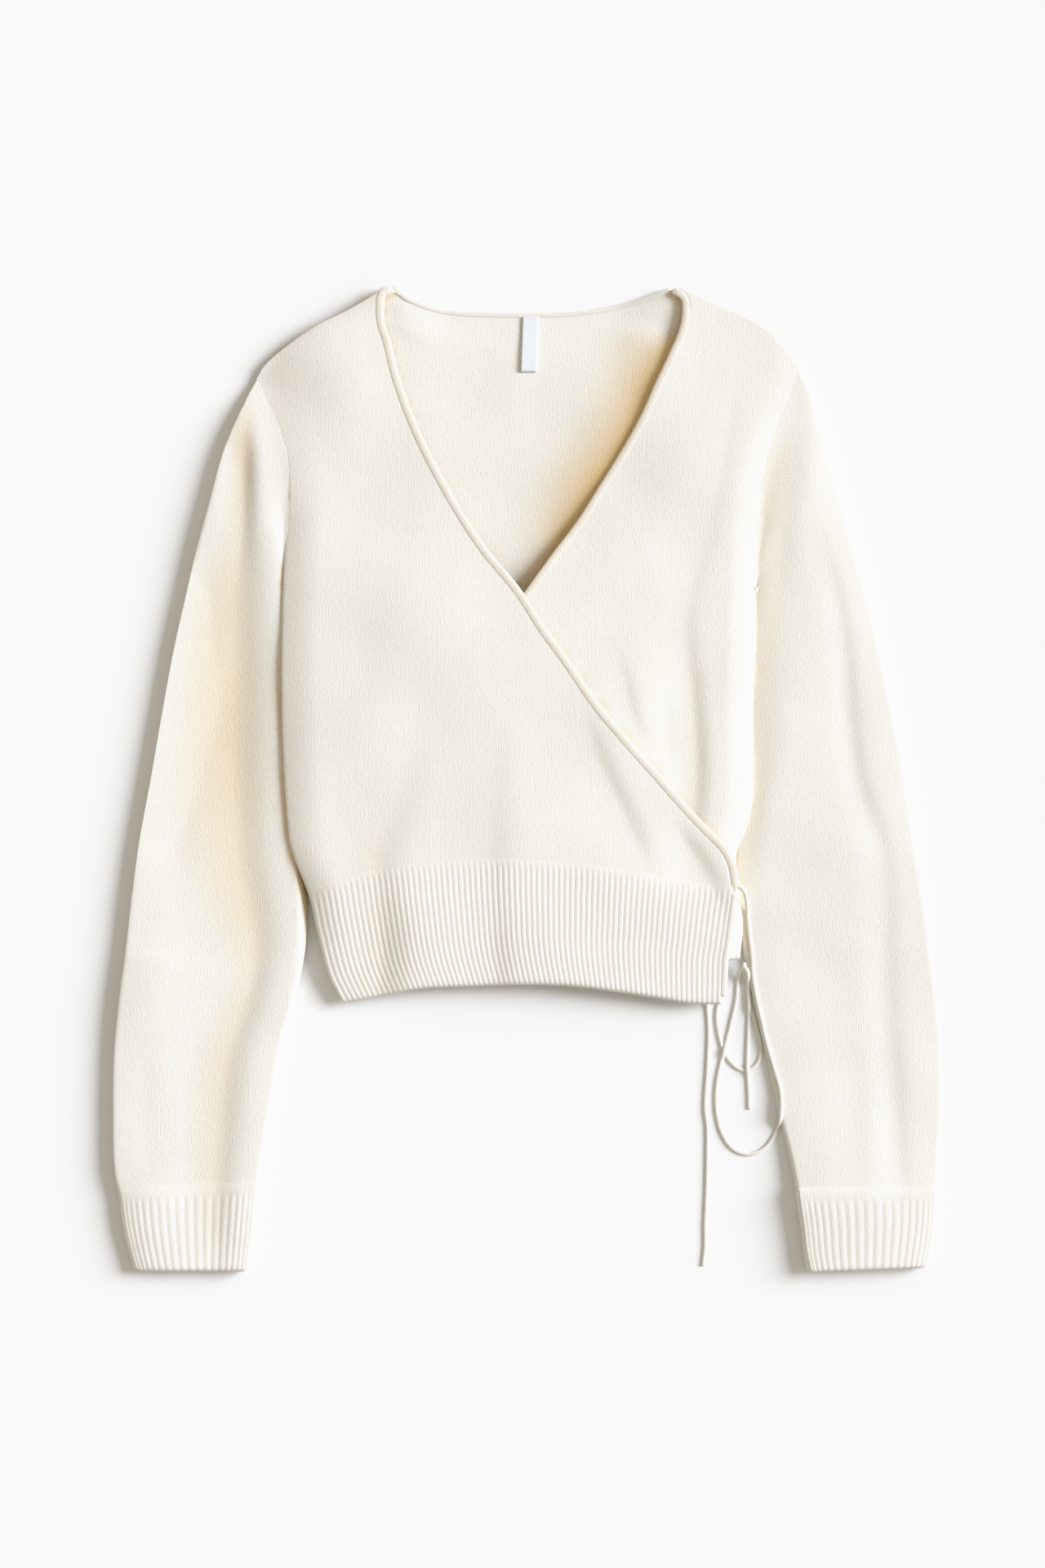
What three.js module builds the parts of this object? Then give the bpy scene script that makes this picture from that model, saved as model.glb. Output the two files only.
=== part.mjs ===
// Wrap cardigan in brushed knit, laid flat on its back with the arms down. Millimetres, +Z up.
// The origin is on the surface, under the middle of the garment. +Y is the neck end and +X is the
// wearer's left. Each piece that is cut and sewn on is one closed wall, so the body, the sleeves, the
// neck, the hem and the cuffs are hollow and open as they are on the real garment.

import * as THREE from "three";

const JERSEY_WALL = 1.8;
const RIB_WALL = 2.4;
const SEAM_GAP = 0.4;
const ARMHOLE_GAP = 0.8;
const LAYER_STEP = 3.2; // the front underneath lies this much lower than the front over it
const BAND_WIDTH = 5.4;
const BAND_THICKNESS = 3;
const NECK_BAND_WIDTH = 3.4;
const NECK_BAND_INSET = 4; // how far inside the shoulder points it ends
const RIB_EDGE_WIDTH = 5.6;
const BAND_SIDES = 6;
const TIE_DIAMETER = 2.5;
const TIE_SIDES = 8;
const TIE_CLEARANCE = 0.15;
const TIE_STEP = 7;
const TIE_SAMPLE = 2.5;
const TIE_FALL = 1.6; // most that a tie comes down in one sample
const LABEL_WIDTH = 11;
const LABEL_LENGTH = 38;
const LABEL_THICKNESS = 0.9;
const LABEL_X = 0.2;
const LABEL_Y = 298;

const NECK_RIGHT_X = -97; // highest shoulder points
const NECK_LEFT_X = 103;
const ARCH_FOOT_Y = 178; // where the armhole's arch ends and the two side edges meet
const SIDE_RIM = 20; // how far in from a side fold the cloth is still rounding over
const SIDE_TIGHT_RIM = 2;
const SIDE_TIGHT_SHARE = 0.15; // share of the side's height that is gained in the tight rim
const SHOULDER_RIM = 18;
const BACK_RIM = 30;
const FRONT_SHOULDER_EDGE = 8.2; // heights of the shoulder seam on the front and on the back
const BACK_SHOULDER_EDGE = 4.4;
const NECK_FALL = 45; // length over which the back comes down from a shoulder into the neck
const SIDE_SEAM_LIFT = 1.2; // height of a front's side edge over the back's
const RIGHT_LIFT = 0.8; // how far each front is lifted round its armhole, as a share of its height
const LEFT_LIFT = 0.9;
const CROWN_MIDDLE_X = 8;
const CROWN_SPREAD = 0.12;
const CROWN_HALF_WIDTH = 150;
const TIP_REACH = 75; // the right shoulder's outer end lies nearly flat over this length
const TIP_FULL_DROP = 6;
const TIP_SIDE_DROP = 3.4;
const TIP_SHOULDER_DROP = 4;
const TIP_BACK_SHARE = 0.75;
const CORNER = { fromX: 60, toX: 140, fromY: -60, toY: -150, drop: 3 }; // the wrap's lower corner
const HOLLOW = { x: 40, y: 180, halfWidth: 75, halfLength: 60, drop: 2.6 }; // beside the neckline
const FLAP_SHARE = 1.1; // rise of a sleeve edge that is tucked under the body, from its fold height
const FLAP_RIM = 3;
const TUCK_FLAT = 8;
const TUCK_RISE = 16;
const SLEEVE_BOTTOM_RIM = 12;
const SLEEVE_TIGHT_RIM = 3;
const SLEEVE_SLOW_RIM = 30;
const INNER_SLOW_SHARE = 0.1; // share of a sleeve's height that it gains slowly from its inner fold
const RIGHT_SLOW_SHARE = 0.65; // and from its outer fold
const LEFT_SLOW_SHARE = 0.25;
const LEAST_SHARE = 0.3; // thinnest half hollow of a pressed sleeve, as a share of its half height
const LEAST_OPENING = 0.3;
const SLEEVE_SIDES = 20;

const CREAM = "#f3ecdc";
const RIB_CREAM = "#f1e9d8";
const TIE_CREAM = "#f0e8d6";
const SATIN_WHITE = "#f6f6f4";
const JERSEY_ROUGHNESS = 0.95;
const TIE_ROUGHNESS = 0.9;
const SATIN_ROUGHNESS = 0.45;

// Outline of the body: one row for each height on the side, one for each place across the top.
const RIGHT_SIDE = [
  { y: 275, x: -186.5 }, { y: 262, x: -180 }, { y: 242, x: -171.5 }, { y: 221, x: -165.5 },
  { y: 198, x: -164 }, { y: 175, x: -165.5 }, { y: 142, x: -167.5 }, { y: 108, x: -168.5 },
  { y: 73, x: -169 }, { y: 19, x: -168 }, { y: -39, x: -164 }, { y: -55, x: -160 },
  { y: -70, x: -154 }, { y: -84, x: -149 }, { y: -103, x: -145 }, { y: -135, x: -136.5 },
  { y: -154, x: -127 },
];
const LEFT_SIDE = [
  { y: 282, x: 186 }, { y: 265, x: 181 }, { y: 247, x: 174.5 }, { y: 229, x: 168.5 },
  { y: 210, x: 164 }, { y: 191, x: 160.5 }, { y: 170, x: 158.5 }, { y: 144, x: 157 },
  { y: 103, x: 157 }, { y: 52, x: 155 }, { y: -4, x: 155 }, { y: -26, x: 152.5 },
  { y: -38, x: 149 }, { y: -50, x: 144 }, { y: -62, x: 143.5 }, { y: -78, x: 145 },
  { y: -99, x: 148 }, { y: -124, x: 146 },
];
const TOP_LINE = [
  { x: -186.5, y: 275 }, { x: -181, y: 284 }, { x: -169, y: 295 }, { x: -147, y: 310.5 },
  { x: -124, y: 322 }, { x: -106, y: 332 }, { x: NECK_RIGHT_X, y: 339 }, { x: -82, y: 331.5 },
  { x: -59, y: 323 }, { x: -26, y: 320 }, { x: 30, y: 320.5 }, { x: 64, y: 325.5 },
  { x: 88, y: 332.5 }, { x: NECK_LEFT_X, y: 337.5 }, { x: 120, y: 329.5 }, { x: 135, y: 323.5 },
  { x: 151, y: 316 }, { x: 164, y: 308 }, { x: 175, y: 297 }, { x: 186, y: 282 },
];

// Where the jersey stops and the hem rib begins, and where each hem rib ends.
const RIB_LINE = [
  { x: -149, y: -84 }, { x: -130, y: -74 }, { x: -100, y: -65 }, { x: -60, y: -60 },
  { x: -22, y: -58 }, { x: 30, y: -61 }, { x: 75, y: -68 }, { x: 114, y: -75 }, { x: 145, y: -79 },
];
const FRONT_HEM = [
  { x: -127, y: -154 }, { x: -110, y: -151 }, { x: -75, y: -144.5 }, { x: -35, y: -142.5 },
  { x: 0, y: -141.5 }, { x: 30, y: -142.5 }, { x: 57, y: -146 }, { x: 84, y: -150 },
  { x: 111, y: -154.5 }, { x: 133, y: -155 },
];
const HIDDEN_HEM = [
  { x: -128, y: -151 }, { x: -100, y: -142 }, { x: -60, y: -136 }, { x: 0, y: -133 },
  { x: 50, y: -132 }, { x: 100, y: -129 }, { x: 146, y: -124 },
];

// Free edges of the two fronts, where the edge bands are sewn on.
const RIGHT_FREE = [
  { x: -102, y: 335 }, { x: -102.5, y: 313 }, { x: -98.5, y: 300 }, { x: -93, y: 277.5 },
  { x: -85.5, y: 255.5 }, { x: -75.5, y: 231.5 }, { x: -55.5, y: 193 }, { x: -33, y: 157.5 },
  { x: -8.5, y: 127.5 }, { x: 8, y: 102 }, { x: 25, y: 78.5 }, { x: 46, y: 48 },
  { x: 67, y: 23 }, { x: 87, y: 0.5 }, { x: 105, y: -20 }, { x: 122, y: -38 },
  { x: 133, y: -49.5 }, { x: 138, y: -59 }, { x: 140, y: -69 }, { x: 140.5, y: -78 },
];
const LEFT_FREE = [
  { x: 108.5, y: 335 }, { x: 111.5, y: 326 }, { x: 109.5, y: 311 }, { x: 101, y: 289.5 },
  { x: 91.5, y: 269.5 }, { x: 82, y: 248 }, { x: 69, y: 224.5 }, { x: 53.5, y: 199.5 },
  { x: 38, y: 175 }, { x: 20, y: 151 }, { x: 2, y: 126 }, { x: -27, y: 83 },
  { x: -61, y: 37 }, { x: -98, y: -8 }, { x: -128, y: -44 }, { x: -134, y: -56 },
  { x: -134, y: -76 },
];
const RIB_FREE = [
  { x: 141, y: -79.5 }, { x: 138, y: -96 }, { x: 135.5, y: -114.5 }, { x: 134, y: -124 },
  { x: 133.5, y: -137 }, { x: 133, y: -155 },
];
const HIDDEN_RIB_FREE = [{ x: -131, y: -76 }, { x: -118, y: -147 }];

// Height of the body over the surface, down its length, and height of its side folds.
const CROWN = [
  { y: 340, height: 11 }, { y: 300, height: 12 }, { y: 240, height: 14 }, { y: 180, height: 16.5 },
  { y: 130, height: 18.5 }, { y: 0, height: 19 }, { y: -80, height: 18.3 }, { y: -120, height: 16.8 },
  { y: -156, height: 14.5 },
];
const RIGHT_EDGE = [
  { y: 290, height: 6 }, { y: 210, height: 7.5 }, { y: 134, height: 10.5 },
  { y: -50, height: 10.5 }, { y: -124, height: 8 }, { y: -156, height: 6 },
];
const LEFT_EDGE = [
  { y: 290, height: 6 }, { y: 210, height: 6.5 }, { y: 134, height: 7.5 },
  { y: -50, height: 7.5 }, { y: -124, height: 5.8 },
];
// How the back comes down from a side fold to the surface.
const BACK_FALL = [
  { inward: 0, share: 1 }, { inward: 1, share: 0.8 }, { inward: 4, share: 0.66 },
  { inward: 9, share: 0.54 }, { inward: 18, share: 0.25 }, { inward: BACK_RIM, share: 0 },
];

// Largest folds of the fronts: a trough from one end to the other, widest in the middle.
const RIGHT_FOLDS = [
  { x0: -86, y0: 20, x1: -108, y1: -270, depth: 3.4, width: 20 },
  { x0: -26, y0: 2, x1: -22, y1: -240, depth: 1.5, width: 17 },
  { x0: 36, y0: 48, x1: 84, y1: -70, depth: 1.6, width: 13 },
  { x0: 98, y0: -28, x1: 134, y1: -110, depth: 1.2, width: 12 },
];
const LEFT_FOLDS = [
  { x0: 139, y0: 254, x1: 107, y1: 112, depth: 0.8, width: 12 },
  { x0: 110, y0: 112, x1: 112, y1: -80, depth: 1.8, width: 12 },
  { x0: 58, y0: 92, x1: 80, y1: 18, depth: 0.8, width: 10 },
];

// Sleeves: one row for each section, from the armhole to the cuff. The outer and inner ends lie on
// the two folds of the flat sleeve, outZ and inZ high, and topZ is the height of its middle. "tuck" is
// how far the inner fold is pressed flat under the body, and "follow" is how much of the armhole's
// curve the section still has.
const RIGHT_SLEEVE = [
  { outX: -186.9, outY: 275, inX: -168.2, inY: 134, topZ: 12, outZ: 3, inZ: 10.5, tuck: 0, follow: 1 },
  { outX: -197, outY: 254.5, inX: -169, inY: 131, topZ: 13.5, outZ: 5.5, inZ: 8, tuck: 0.2, follow: 0.75 },
  { outX: -209, outY: 225.5, inX: -169.2, inY: 124, topZ: 14, outZ: 6, inZ: 5, tuck: 0.6, follow: 0.45 },
  { outX: -217, outY: 197.5, inX: -167, inY: 113, topZ: 14, outZ: 6, inZ: 2.8, tuck: 1, follow: 0.2 },
  { outX: -226, outY: 164, inX: -161.5, inY: 98, topZ: 14, outZ: 6, inZ: 2.3, tuck: 1, follow: 0 },
  { outX: -235, outY: 125, inX: -161.5, inY: 79, topZ: 14, outZ: 6, inZ: 2.3, tuck: 1, follow: 0 },
  { outX: -243.5, outY: 87, inX: -161.5, inY: 54, topZ: 14, outZ: 6, inZ: 2.3, tuck: 1, follow: 0 },
  { outX: -251, outY: 46, inX: -161.5, inY: 24, topZ: 14, outZ: 6, inZ: 2.3, tuck: 1, follow: 0 },
  { outX: -259, outY: 0, inX: -160.5, inY: -10, topZ: 14, outZ: 6, inZ: 2.3, tuck: 1, follow: 0 },
  { outX: -267, outY: -44, inX: -156, inY: -47, topZ: 14, outZ: 6, inZ: 2.3, tuck: 1, follow: 0 },
  { outX: -272, outY: -80, inX: -151.5, inY: -84, topZ: 13.8, outZ: 6, inZ: 2.4, tuck: 0.8, follow: 0 },
  { outX: -276, outY: -115, inX: -152.5, inY: -115, topZ: 13.5, outZ: 6, inZ: 3, tuck: 0.3, follow: 0 },
  { outX: -281, outY: -151, inX: -159, inY: -148, topZ: 13.5, outZ: 6, inZ: 3.5, tuck: 0, follow: 0 },
  { outX: -284.5, outY: -190, inX: -169, inY: -187, topZ: 13.5, outZ: 6, inZ: 4, tuck: 0, follow: 0 },
  { outX: -285.2, outY: -232, inX: -176, inY: -230, topZ: 13.5, outZ: 6, inZ: 4, tuck: 0, follow: 0 },
  { outX: -284, outY: -270, inX: -182.5, inY: -267, topZ: 13, outZ: 6, inZ: 4, tuck: 0, follow: 0 },
  { outX: -280, outY: -290, inX: -185, inY: -284.5, topZ: 12.5, outZ: 6, inZ: 4.5, tuck: 0, follow: 0 },
];
const LEFT_SLEEVE = [
  { outX: 186.4, outY: 282, inX: 157.6, inY: 134, topZ: 12, outZ: 4, inZ: 7.5, tuck: 0, follow: 1 },
  { outX: 195.5, outY: 262.5, inX: 160, inY: 131, topZ: 13.5, outZ: 5.5, inZ: 6, tuck: 0.2, follow: 0.75 },
  { outX: 205, outY: 230.5, inX: 160, inY: 124, topZ: 14, outZ: 5.5, inZ: 4, tuck: 0.6, follow: 0.45 },
  { outX: 214.5, outY: 195.5, inX: 157.4, inY: 113, topZ: 14, outZ: 5.5, inZ: 2.8, tuck: 1, follow: 0.2 },
  { outX: 224, outY: 162.5, inX: 154, inY: 98, topZ: 14, outZ: 5.5, inZ: 2.3, tuck: 1, follow: 0 },
  { outX: 232, outY: 133, inX: 154, inY: 82, topZ: 14, outZ: 5.5, inZ: 2.3, tuck: 1, follow: 0 },
  { outX: 241.5, outY: 97, inX: 153, inY: 58, topZ: 14, outZ: 5.5, inZ: 2.3, tuck: 1, follow: 0 },
  { outX: 250, outY: 57, inX: 152.5, inY: 28, topZ: 14, outZ: 5.5, inZ: 2.3, tuck: 1, follow: 0 },
  { outX: 259, outY: 12, inX: 151.5, inY: -6, topZ: 14, outZ: 5.5, inZ: 2.3, tuck: 1, follow: 0 },
  { outX: 266.5, outY: -38, inX: 143.5, inY: -46, topZ: 13.5, outZ: 5.2, inZ: 2.3, tuck: 1, follow: 0 },
  { outX: 272.5, outY: -76, inX: 141.5, inY: -80, topZ: 13, outZ: 5, inZ: 2.2, tuck: 1, follow: 0 },
  { outX: 277, outY: -110, inX: 147, inY: -112, topZ: 12.5, outZ: 4.4, inZ: 2.2, tuck: 0.9, follow: 0 },
  { outX: 281.5, outY: -150, inX: 155, inY: -150, topZ: 12, outZ: 4.2, inZ: 2.4, tuck: 0, follow: 0 },
  { outX: 285, outY: -194, inX: 165, inY: -194, topZ: 12, outZ: 4.2, inZ: 2.4, tuck: 0, follow: 0 },
  { outX: 285.6, outY: -228, inX: 172.5, inY: -228, topZ: 12, outZ: 4.6, inZ: 3, tuck: 0, follow: 0 },
  { outX: 283.5, outY: -265, inX: 181, inY: -264, topZ: 12.5, outZ: 5.2, inZ: 4, tuck: 0, follow: 0 },
  { outX: 282, outY: -290, inX: 185.7, inY: -289.5, topZ: 12.5, outZ: 5.5, inZ: 5, tuck: 0, follow: 0 },
];
const RIGHT_CUFF = [
  { outX: -280, outY: -290.4, inX: -185, inY: -284.9, topZ: 12.5, outZ: 6, inZ: 5, tuck: 0, follow: 0 },
  { outX: -278, outY: -308, inX: -187, inY: -304, topZ: 12.5, outZ: 5.7, inZ: 5, tuck: 0, follow: 0 },
  { outX: -274, outY: -325, inX: -189.5, inY: -324, topZ: 12, outZ: 5.5, inZ: 5, tuck: 0, follow: 0 },
  { outX: -270, outY: -338.5, inX: -191.5, inY: -338.5, topZ: 12, outZ: 5.5, inZ: 5, tuck: 0, follow: 0 },
];
const LEFT_CUFF = [
  { outX: 282, outY: -290.4, inX: 185.7, inY: -289.9, topZ: 12.5, outZ: 5.5, inZ: 5, tuck: 0, follow: 0 },
  { outX: 281, outY: -306, inX: 188, inY: -307, topZ: 12.5, outZ: 5.5, inZ: 5, tuck: 0, follow: 0 },
  { outX: 278.5, outY: -322, inX: 190, inY: -324, topZ: 12, outZ: 5.5, inZ: 5, tuck: 0, follow: 0 },
  { outX: 275.5, outY: -336, inX: 193, inY: -339, topZ: 12, outZ: 5.5, inZ: 5, tuck: 0, follow: 0 },
];
// Long troughs down the sleeves: from and to are shares of the length, across is from the outer fold.
const RIGHT_SLEEVE_FOLDS = [
  { from: 0.05, to: 0.62, across: 0.42, drift: 0.28, depth: 2.8, width: 0.16 },
  { from: 0.55, to: 1, across: 0.74, drift: -0.08, depth: 2.2, width: 0.13 },
];
const LEFT_SLEEVE_FOLDS = [
  { from: 0.05, to: 0.5, across: 0.72, drift: 0.15, depth: 1.2, width: 0.1 },
  { from: 0.25, to: 0.95, across: 0.32, drift: -0.06, depth: 1, width: 0.08 },
];

// Ties: the line each one lies along, from where it is sewn on to its free end.
const TIE_FRONT_ROUTE = [
  { x: 148, y: -74 }, { x: 150, y: -82 }, { x: 152.5, y: -104 }, { x: 154.5, y: -121 },
  { x: 155.5, y: -136 }, { x: 157.5, y: -149 }, { x: 161, y: -165 }, { x: 165.5, y: -184 },
  { x: 170.5, y: -201 }, { x: 174.5, y: -217 }, { x: 174, y: -234 }, { x: 169.5, y: -247 },
  { x: 162, y: -255.5 }, { x: 152, y: -258.5 }, { x: 142, y: -255 }, { x: 135, y: -246 },
  { x: 131, y: -233 }, { x: 130, y: -218 }, { x: 132, y: -202 }, { x: 136.5, y: -184 },
  { x: 140.5, y: -168 }, { x: 144, y: -152 }, { x: 144.8, y: -141 }, { x: 146, y: -133 },
  { x: 149, y: -129.5 }, { x: 151.5, y: -133 }, { x: 152, y: -142 }, { x: 152.5, y: -160 },
  { x: 152, y: -180 }, { x: 151.5, y: -198 }, { x: 152.5, y: -213 }, { x: 153, y: -228 },
];
const TIE_SIDE_ROUTE = [
  { x: 149, y: -126 }, { x: 151, y: -142 }, { x: 154, y: -158 }, { x: 158, y: -172 },
  { x: 160.8, y: -184 }, { x: 160, y: -193 }, { x: 155, y: -199.5 }, { x: 148, y: -200.5 },
  { x: 141, y: -196 }, { x: 135.5, y: -188 }, { x: 132, y: -176 }, { x: 130.5, y: -164 },
  { x: 132, y: -152 }, { x: 133, y: -143 }, { x: 129.5, y: -136 }, { x: 123, y: -136.5 },
  { x: 120.5, y: -144 }, { x: 123.5, y: -155 }, { x: 125, y: -173 }, { x: 124, y: -201 },
  { x: 122.5, y: -226 }, { x: 124, y: -240 }, { x: 124, y: -262 }, { x: 123.5, y: -285 },
  { x: 122.5, y: -308 }, { x: 122.5, y: -322 }, { x: 121, y: -336 },
];

const lerp = THREE.MathUtils.lerp;
const clamp = THREE.MathUtils.clamp;
const smoothstep = THREE.MathUtils.smoothstep;
const cardigan = new THREE.Group();

// Value of one column of a table at a place on another, smoothly between its rows.
function column(rows, key, value, at) {
  const rising = rows[0][key] < rows[rows.length - 1][key];
  const sorted = rising ? rows : [...rows].reverse();
  const last = sorted.length - 1;
  const held = clamp(at, sorted[0][key], sorted[last][key]);
  let i = 0;
  while (i < last - 1 && held > sorted[i + 1][key]) i += 1;
  const a = sorted[i];
  const b = sorted[i + 1];
  const before = sorted[Math.max(i - 1, 0)];
  const after = sorted[Math.min(i + 2, last)];
  const span = b[key] - a[key];
  const t = (held - a[key]) / span;
  const slopeA = ((b[value] - before[value]) / (b[key] - before[key])) * span;
  const slopeB = ((after[value] - a[value]) / (after[key] - a[key])) * span;
  const t2 = t * t;
  const t3 = t2 * t;
  return (
    a[value] * (2 * t3 - 3 * t2 + 1) + slopeA * (t3 - 2 * t2 + t) +
    b[value] * (3 * t2 - 2 * t3) + slopeB * (t3 - t2)
  );
}

const rightSide = (y) => column(RIGHT_SIDE, "y", "x", y);
const leftSide = (y) => column(LEFT_SIDE, "y", "x", y);
const topLine = (x) => column(TOP_LINE, "x", "y", x);
const rightEdge = (y) => column(RIGHT_EDGE, "y", "height", y);
const leftEdge = (y) => column(LEFT_EDGE, "y", "height", y);

// Quarter round: 0 on the fold, 1 once the rim is passed.
function rounding(inward, rim) {
  const left = 1 - clamp(inward / rim, 0, 1);
  return Math.sqrt(1 - left * left);
}

// How far along an armhole a height is: 0 at the shoulder, 1 at the underarm, and the arch between.
function armholeArch(y, shoulderY) {
  if (y <= ARCH_FOOT_Y) return 0;
  const t = clamp((shoulderY - y) / (shoulderY - ARCH_FOOT_Y), 0, 1);
  return Math.sqrt(1 - (2 * t - 1) ** 2);
}

function troughs(folds, x, y) {
  let depth = 0;
  for (const fold of folds) {
    const dx = fold.x1 - fold.x0;
    const dy = fold.y1 - fold.y0;
    const length2 = dx * dx + dy * dy;
    const along = ((x - fold.x0) * dx + (y - fold.y0) * dy) / length2;
    const across = ((x - fold.x0) * dy - (y - fold.y0) * dx) / Math.sqrt(length2);
    const ends = Math.sin(Math.PI * clamp(along, 0, 1));
    depth += fold.depth * ends * Math.exp(-((across / fold.width) ** 2));
  }
  return depth;
}

// 1 at the outer end of the right shoulder, 0 once its reach is passed.
function lowTip(x, y) {
  const away = Math.hypot(x - RIGHT_SIDE[0].x, y - RIGHT_SIDE[0].y);
  return (1 - clamp(away / TIP_REACH, 0, 1)) ** 2;
}

// Height of the upper layer away from its edges, before its folds.
function crown(x, y) {
  const spread = 1 - CROWN_SPREAD * ((x - CROWN_MIDDLE_X) / CROWN_HALF_WIDTH) ** 2;
  const corner = smoothstep(x, CORNER.fromX, CORNER.toX) * (1 - smoothstep(y, CORNER.toY, CORNER.fromY));
  const awayX = (x - HOLLOW.x) / HOLLOW.halfWidth;
  const awayY = (y - HOLLOW.y) / HOLLOW.halfLength;
  const hollow = Math.exp(-(awayX ** 2) - awayY ** 2);
  return column(CROWN, "y", "height", y) * spread
    - CORNER.drop * corner - HOLLOW.drop * hollow - TIP_FULL_DROP * lowTip(x, y);
}

// Height of a front that lies at the given level, with its side fold on the given side.
function frontHeight(x, y, { side, edge, shoulderY, drop, folds, lift }) {
  const tip = lowTip(x, y);
  const full = crown(x, y) - drop - troughs(folds, x, y);
  const low = edge(y) + SIDE_SEAM_LIFT - TIP_SIDE_DROP * tip;
  const sideHeight = lerp(low, full, armholeArch(y, shoulderY) * lift);
  const shoulderHeight = FRONT_SHOULDER_EDGE - TIP_SHOULDER_DROP * tip;
  const inward = Math.abs(x - side(y));
  const slow = 1 - (1 - clamp(inward / SIDE_RIM, 0, 1)) ** 2;
  const roundSide = lerp(slow, rounding(inward, SIDE_TIGHT_RIM), SIDE_TIGHT_SHARE);
  const roundTop = rounding(topLine(x) - y, SHOULDER_RIM);
  const weightSide = 1 - roundSide;
  const weightTop = 1 - roundTop;
  if (weightSide + weightTop === 0) return full;
  const atEdge = (sideHeight * weightSide + shoulderHeight * weightTop) / (weightSide + weightTop);
  return lerp(atEdge, full, roundSide * roundTop);
}

const RIGHT_FRONT = {
  side: rightSide, edge: rightEdge, shoulderY: RIGHT_SIDE[0].y,
  drop: 0, folds: RIGHT_FOLDS, lift: RIGHT_LIFT,
};
const LEFT_FRONT = {
  side: leftSide, edge: leftEdge, shoulderY: LEFT_SIDE[0].y,
  drop: LAYER_STEP, folds: [...LEFT_FOLDS, ...RIGHT_FOLDS], lift: LEFT_LIFT,
};
const rightHeight = (x, y) => frontHeight(x, y, RIGHT_FRONT);
function leftHeight(x, y) {
  const height = frontHeight(x, y, LEFT_FRONT);
  return x < 0 ? Math.min(height, rightHeight(x, y) - LAYER_STEP) : height;
}

// Height of the back's underside: flat on the surface, rising to the shoulders and side folds.
function backHeight(x, y) {
  const fall = (inward) => clamp(column(BACK_FALL, "inward", "share", Math.max(inward, 0)), 0, 1);
  const { side, edge, shoulderY } = x < 0 ? RIGHT_FRONT : LEFT_FRONT;
  const fromNeck = Math.min(Math.abs(x - NECK_RIGHT_X), Math.abs(x - NECK_LEFT_X));
  const inNeck = x > NECK_RIGHT_X && x < NECK_LEFT_X;
  const topHeight = BACK_SHOULDER_EDGE * (inNeck ? 1 - smoothstep(fromNeck, 0, NECK_FALL) : 1);
  const atSide = (1 - armholeArch(y, shoulderY)) * fall(Math.abs(x - side(y))) * edge(y);
  const atTop = fall(topLine(x) - y) * topHeight;
  const resting = Math.max(atSide + atTop - (atSide * atTop) / BACK_SHOULDER_EDGE, 0);
  return resting * (1 - TIP_BACK_SHARE * lowTip(x, y));
}

// Where the insides of the back and a front would meet: halfway between their outer faces.
const rightMeeting = (x, y) => (backHeight(x, y) + rightHeight(x, y)) / 2;
const leftMeeting = (x, y) => (backHeight(x, y) + leftHeight(x, y)) / 2;
const aboveOf = (meeting) => (point) =>
  point.setZ(Math.max(point.z, meeting(point.x, point.y) + SEAM_GAP / 2));
const aboveRightSeam = aboveOf(rightMeeting);
const aboveLeftSeam = aboveOf(leftMeeting);
function belowSeam(point) {
  const meeting = point.x < 0 ? rightMeeting : leftMeeting;
  return point.setZ(Math.min(point.z, meeting(point.x, point.y) - SEAM_GAP / 2));
}

// A closed wall from a grid of points on its outer face. The other face is one wall further in, and
// stops at the side and shoulder seams.
function wallGeometry(grid, wall, inwards, stop) {
  const rows = grid.length;
  const across = grid[0].length;
  const at = (i, j) => grid[clamp(i, 0, rows - 1)][clamp(j, 0, across - 1)];
  const inner = grid.map((row, i) => row.map((point, j) => {
    const down = at(i + 1, j).clone().sub(at(i - 1, j));
    const over = at(i, j + 1).clone().sub(at(i, j - 1));
    const normal = down.cross(over).normalize();
    return stop(point.clone().addScaledVector(normal, wall * inwards));
  }));
  return closedGrid(grid, inner, false, inwards > 0);
}

// Joins an outer and an inner grid of points into one closed body, all round its edges.
function closedGrid(outer, inner, ring, flip) {
  const rows = outer.length;
  const across = outer[0].length;
  const positions = [];
  for (const p of [...outer.flat(), ...inner.flat()]) positions.push(p.x, p.y, p.z);
  const index = (layer, i, j) => layer * rows * across + i * across + (j % across);
  const faces = [];
  const quad = (a, b, c, d) => {
    if (flip) faces.push(a, c, b, a, d, c);
    else faces.push(a, b, c, a, c, d);
  };
  const lastColumn = ring ? across : across - 1;
  for (let i = 0; i < rows - 1; i += 1) {
    for (let j = 0; j < lastColumn; j += 1) {
      quad(index(0, i, j), index(0, i + 1, j), index(0, i + 1, j + 1), index(0, i, j + 1));
      quad(index(1, i, j), index(1, i, j + 1), index(1, i + 1, j + 1), index(1, i + 1, j));
    }
  }
  for (let j = 0; j < lastColumn; j += 1) {
    quad(index(0, 0, j), index(0, 0, j + 1), index(1, 0, j + 1), index(1, 0, j));
    const end = rows - 1;
    quad(index(0, end, j + 1), index(0, end, j), index(1, end, j), index(1, end, j + 1));
  }
  if (!ring) {
    const last = across - 1;
    for (let i = 0; i < rows - 1; i += 1) {
      quad(index(0, i + 1, 0), index(0, i, 0), index(1, i, 0), index(1, i + 1, 0));
      quad(index(0, i, last), index(0, i + 1, last), index(1, i + 1, last), index(1, i, last));
    }
  }
  const geometry = new THREE.BufferGeometry();
  geometry.setAttribute("position", new THREE.Float32BufferAttribute(positions, 3));
  geometry.setIndex(faces);
  geometry.computeVertexNormals();
  return geometry;
}

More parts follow.
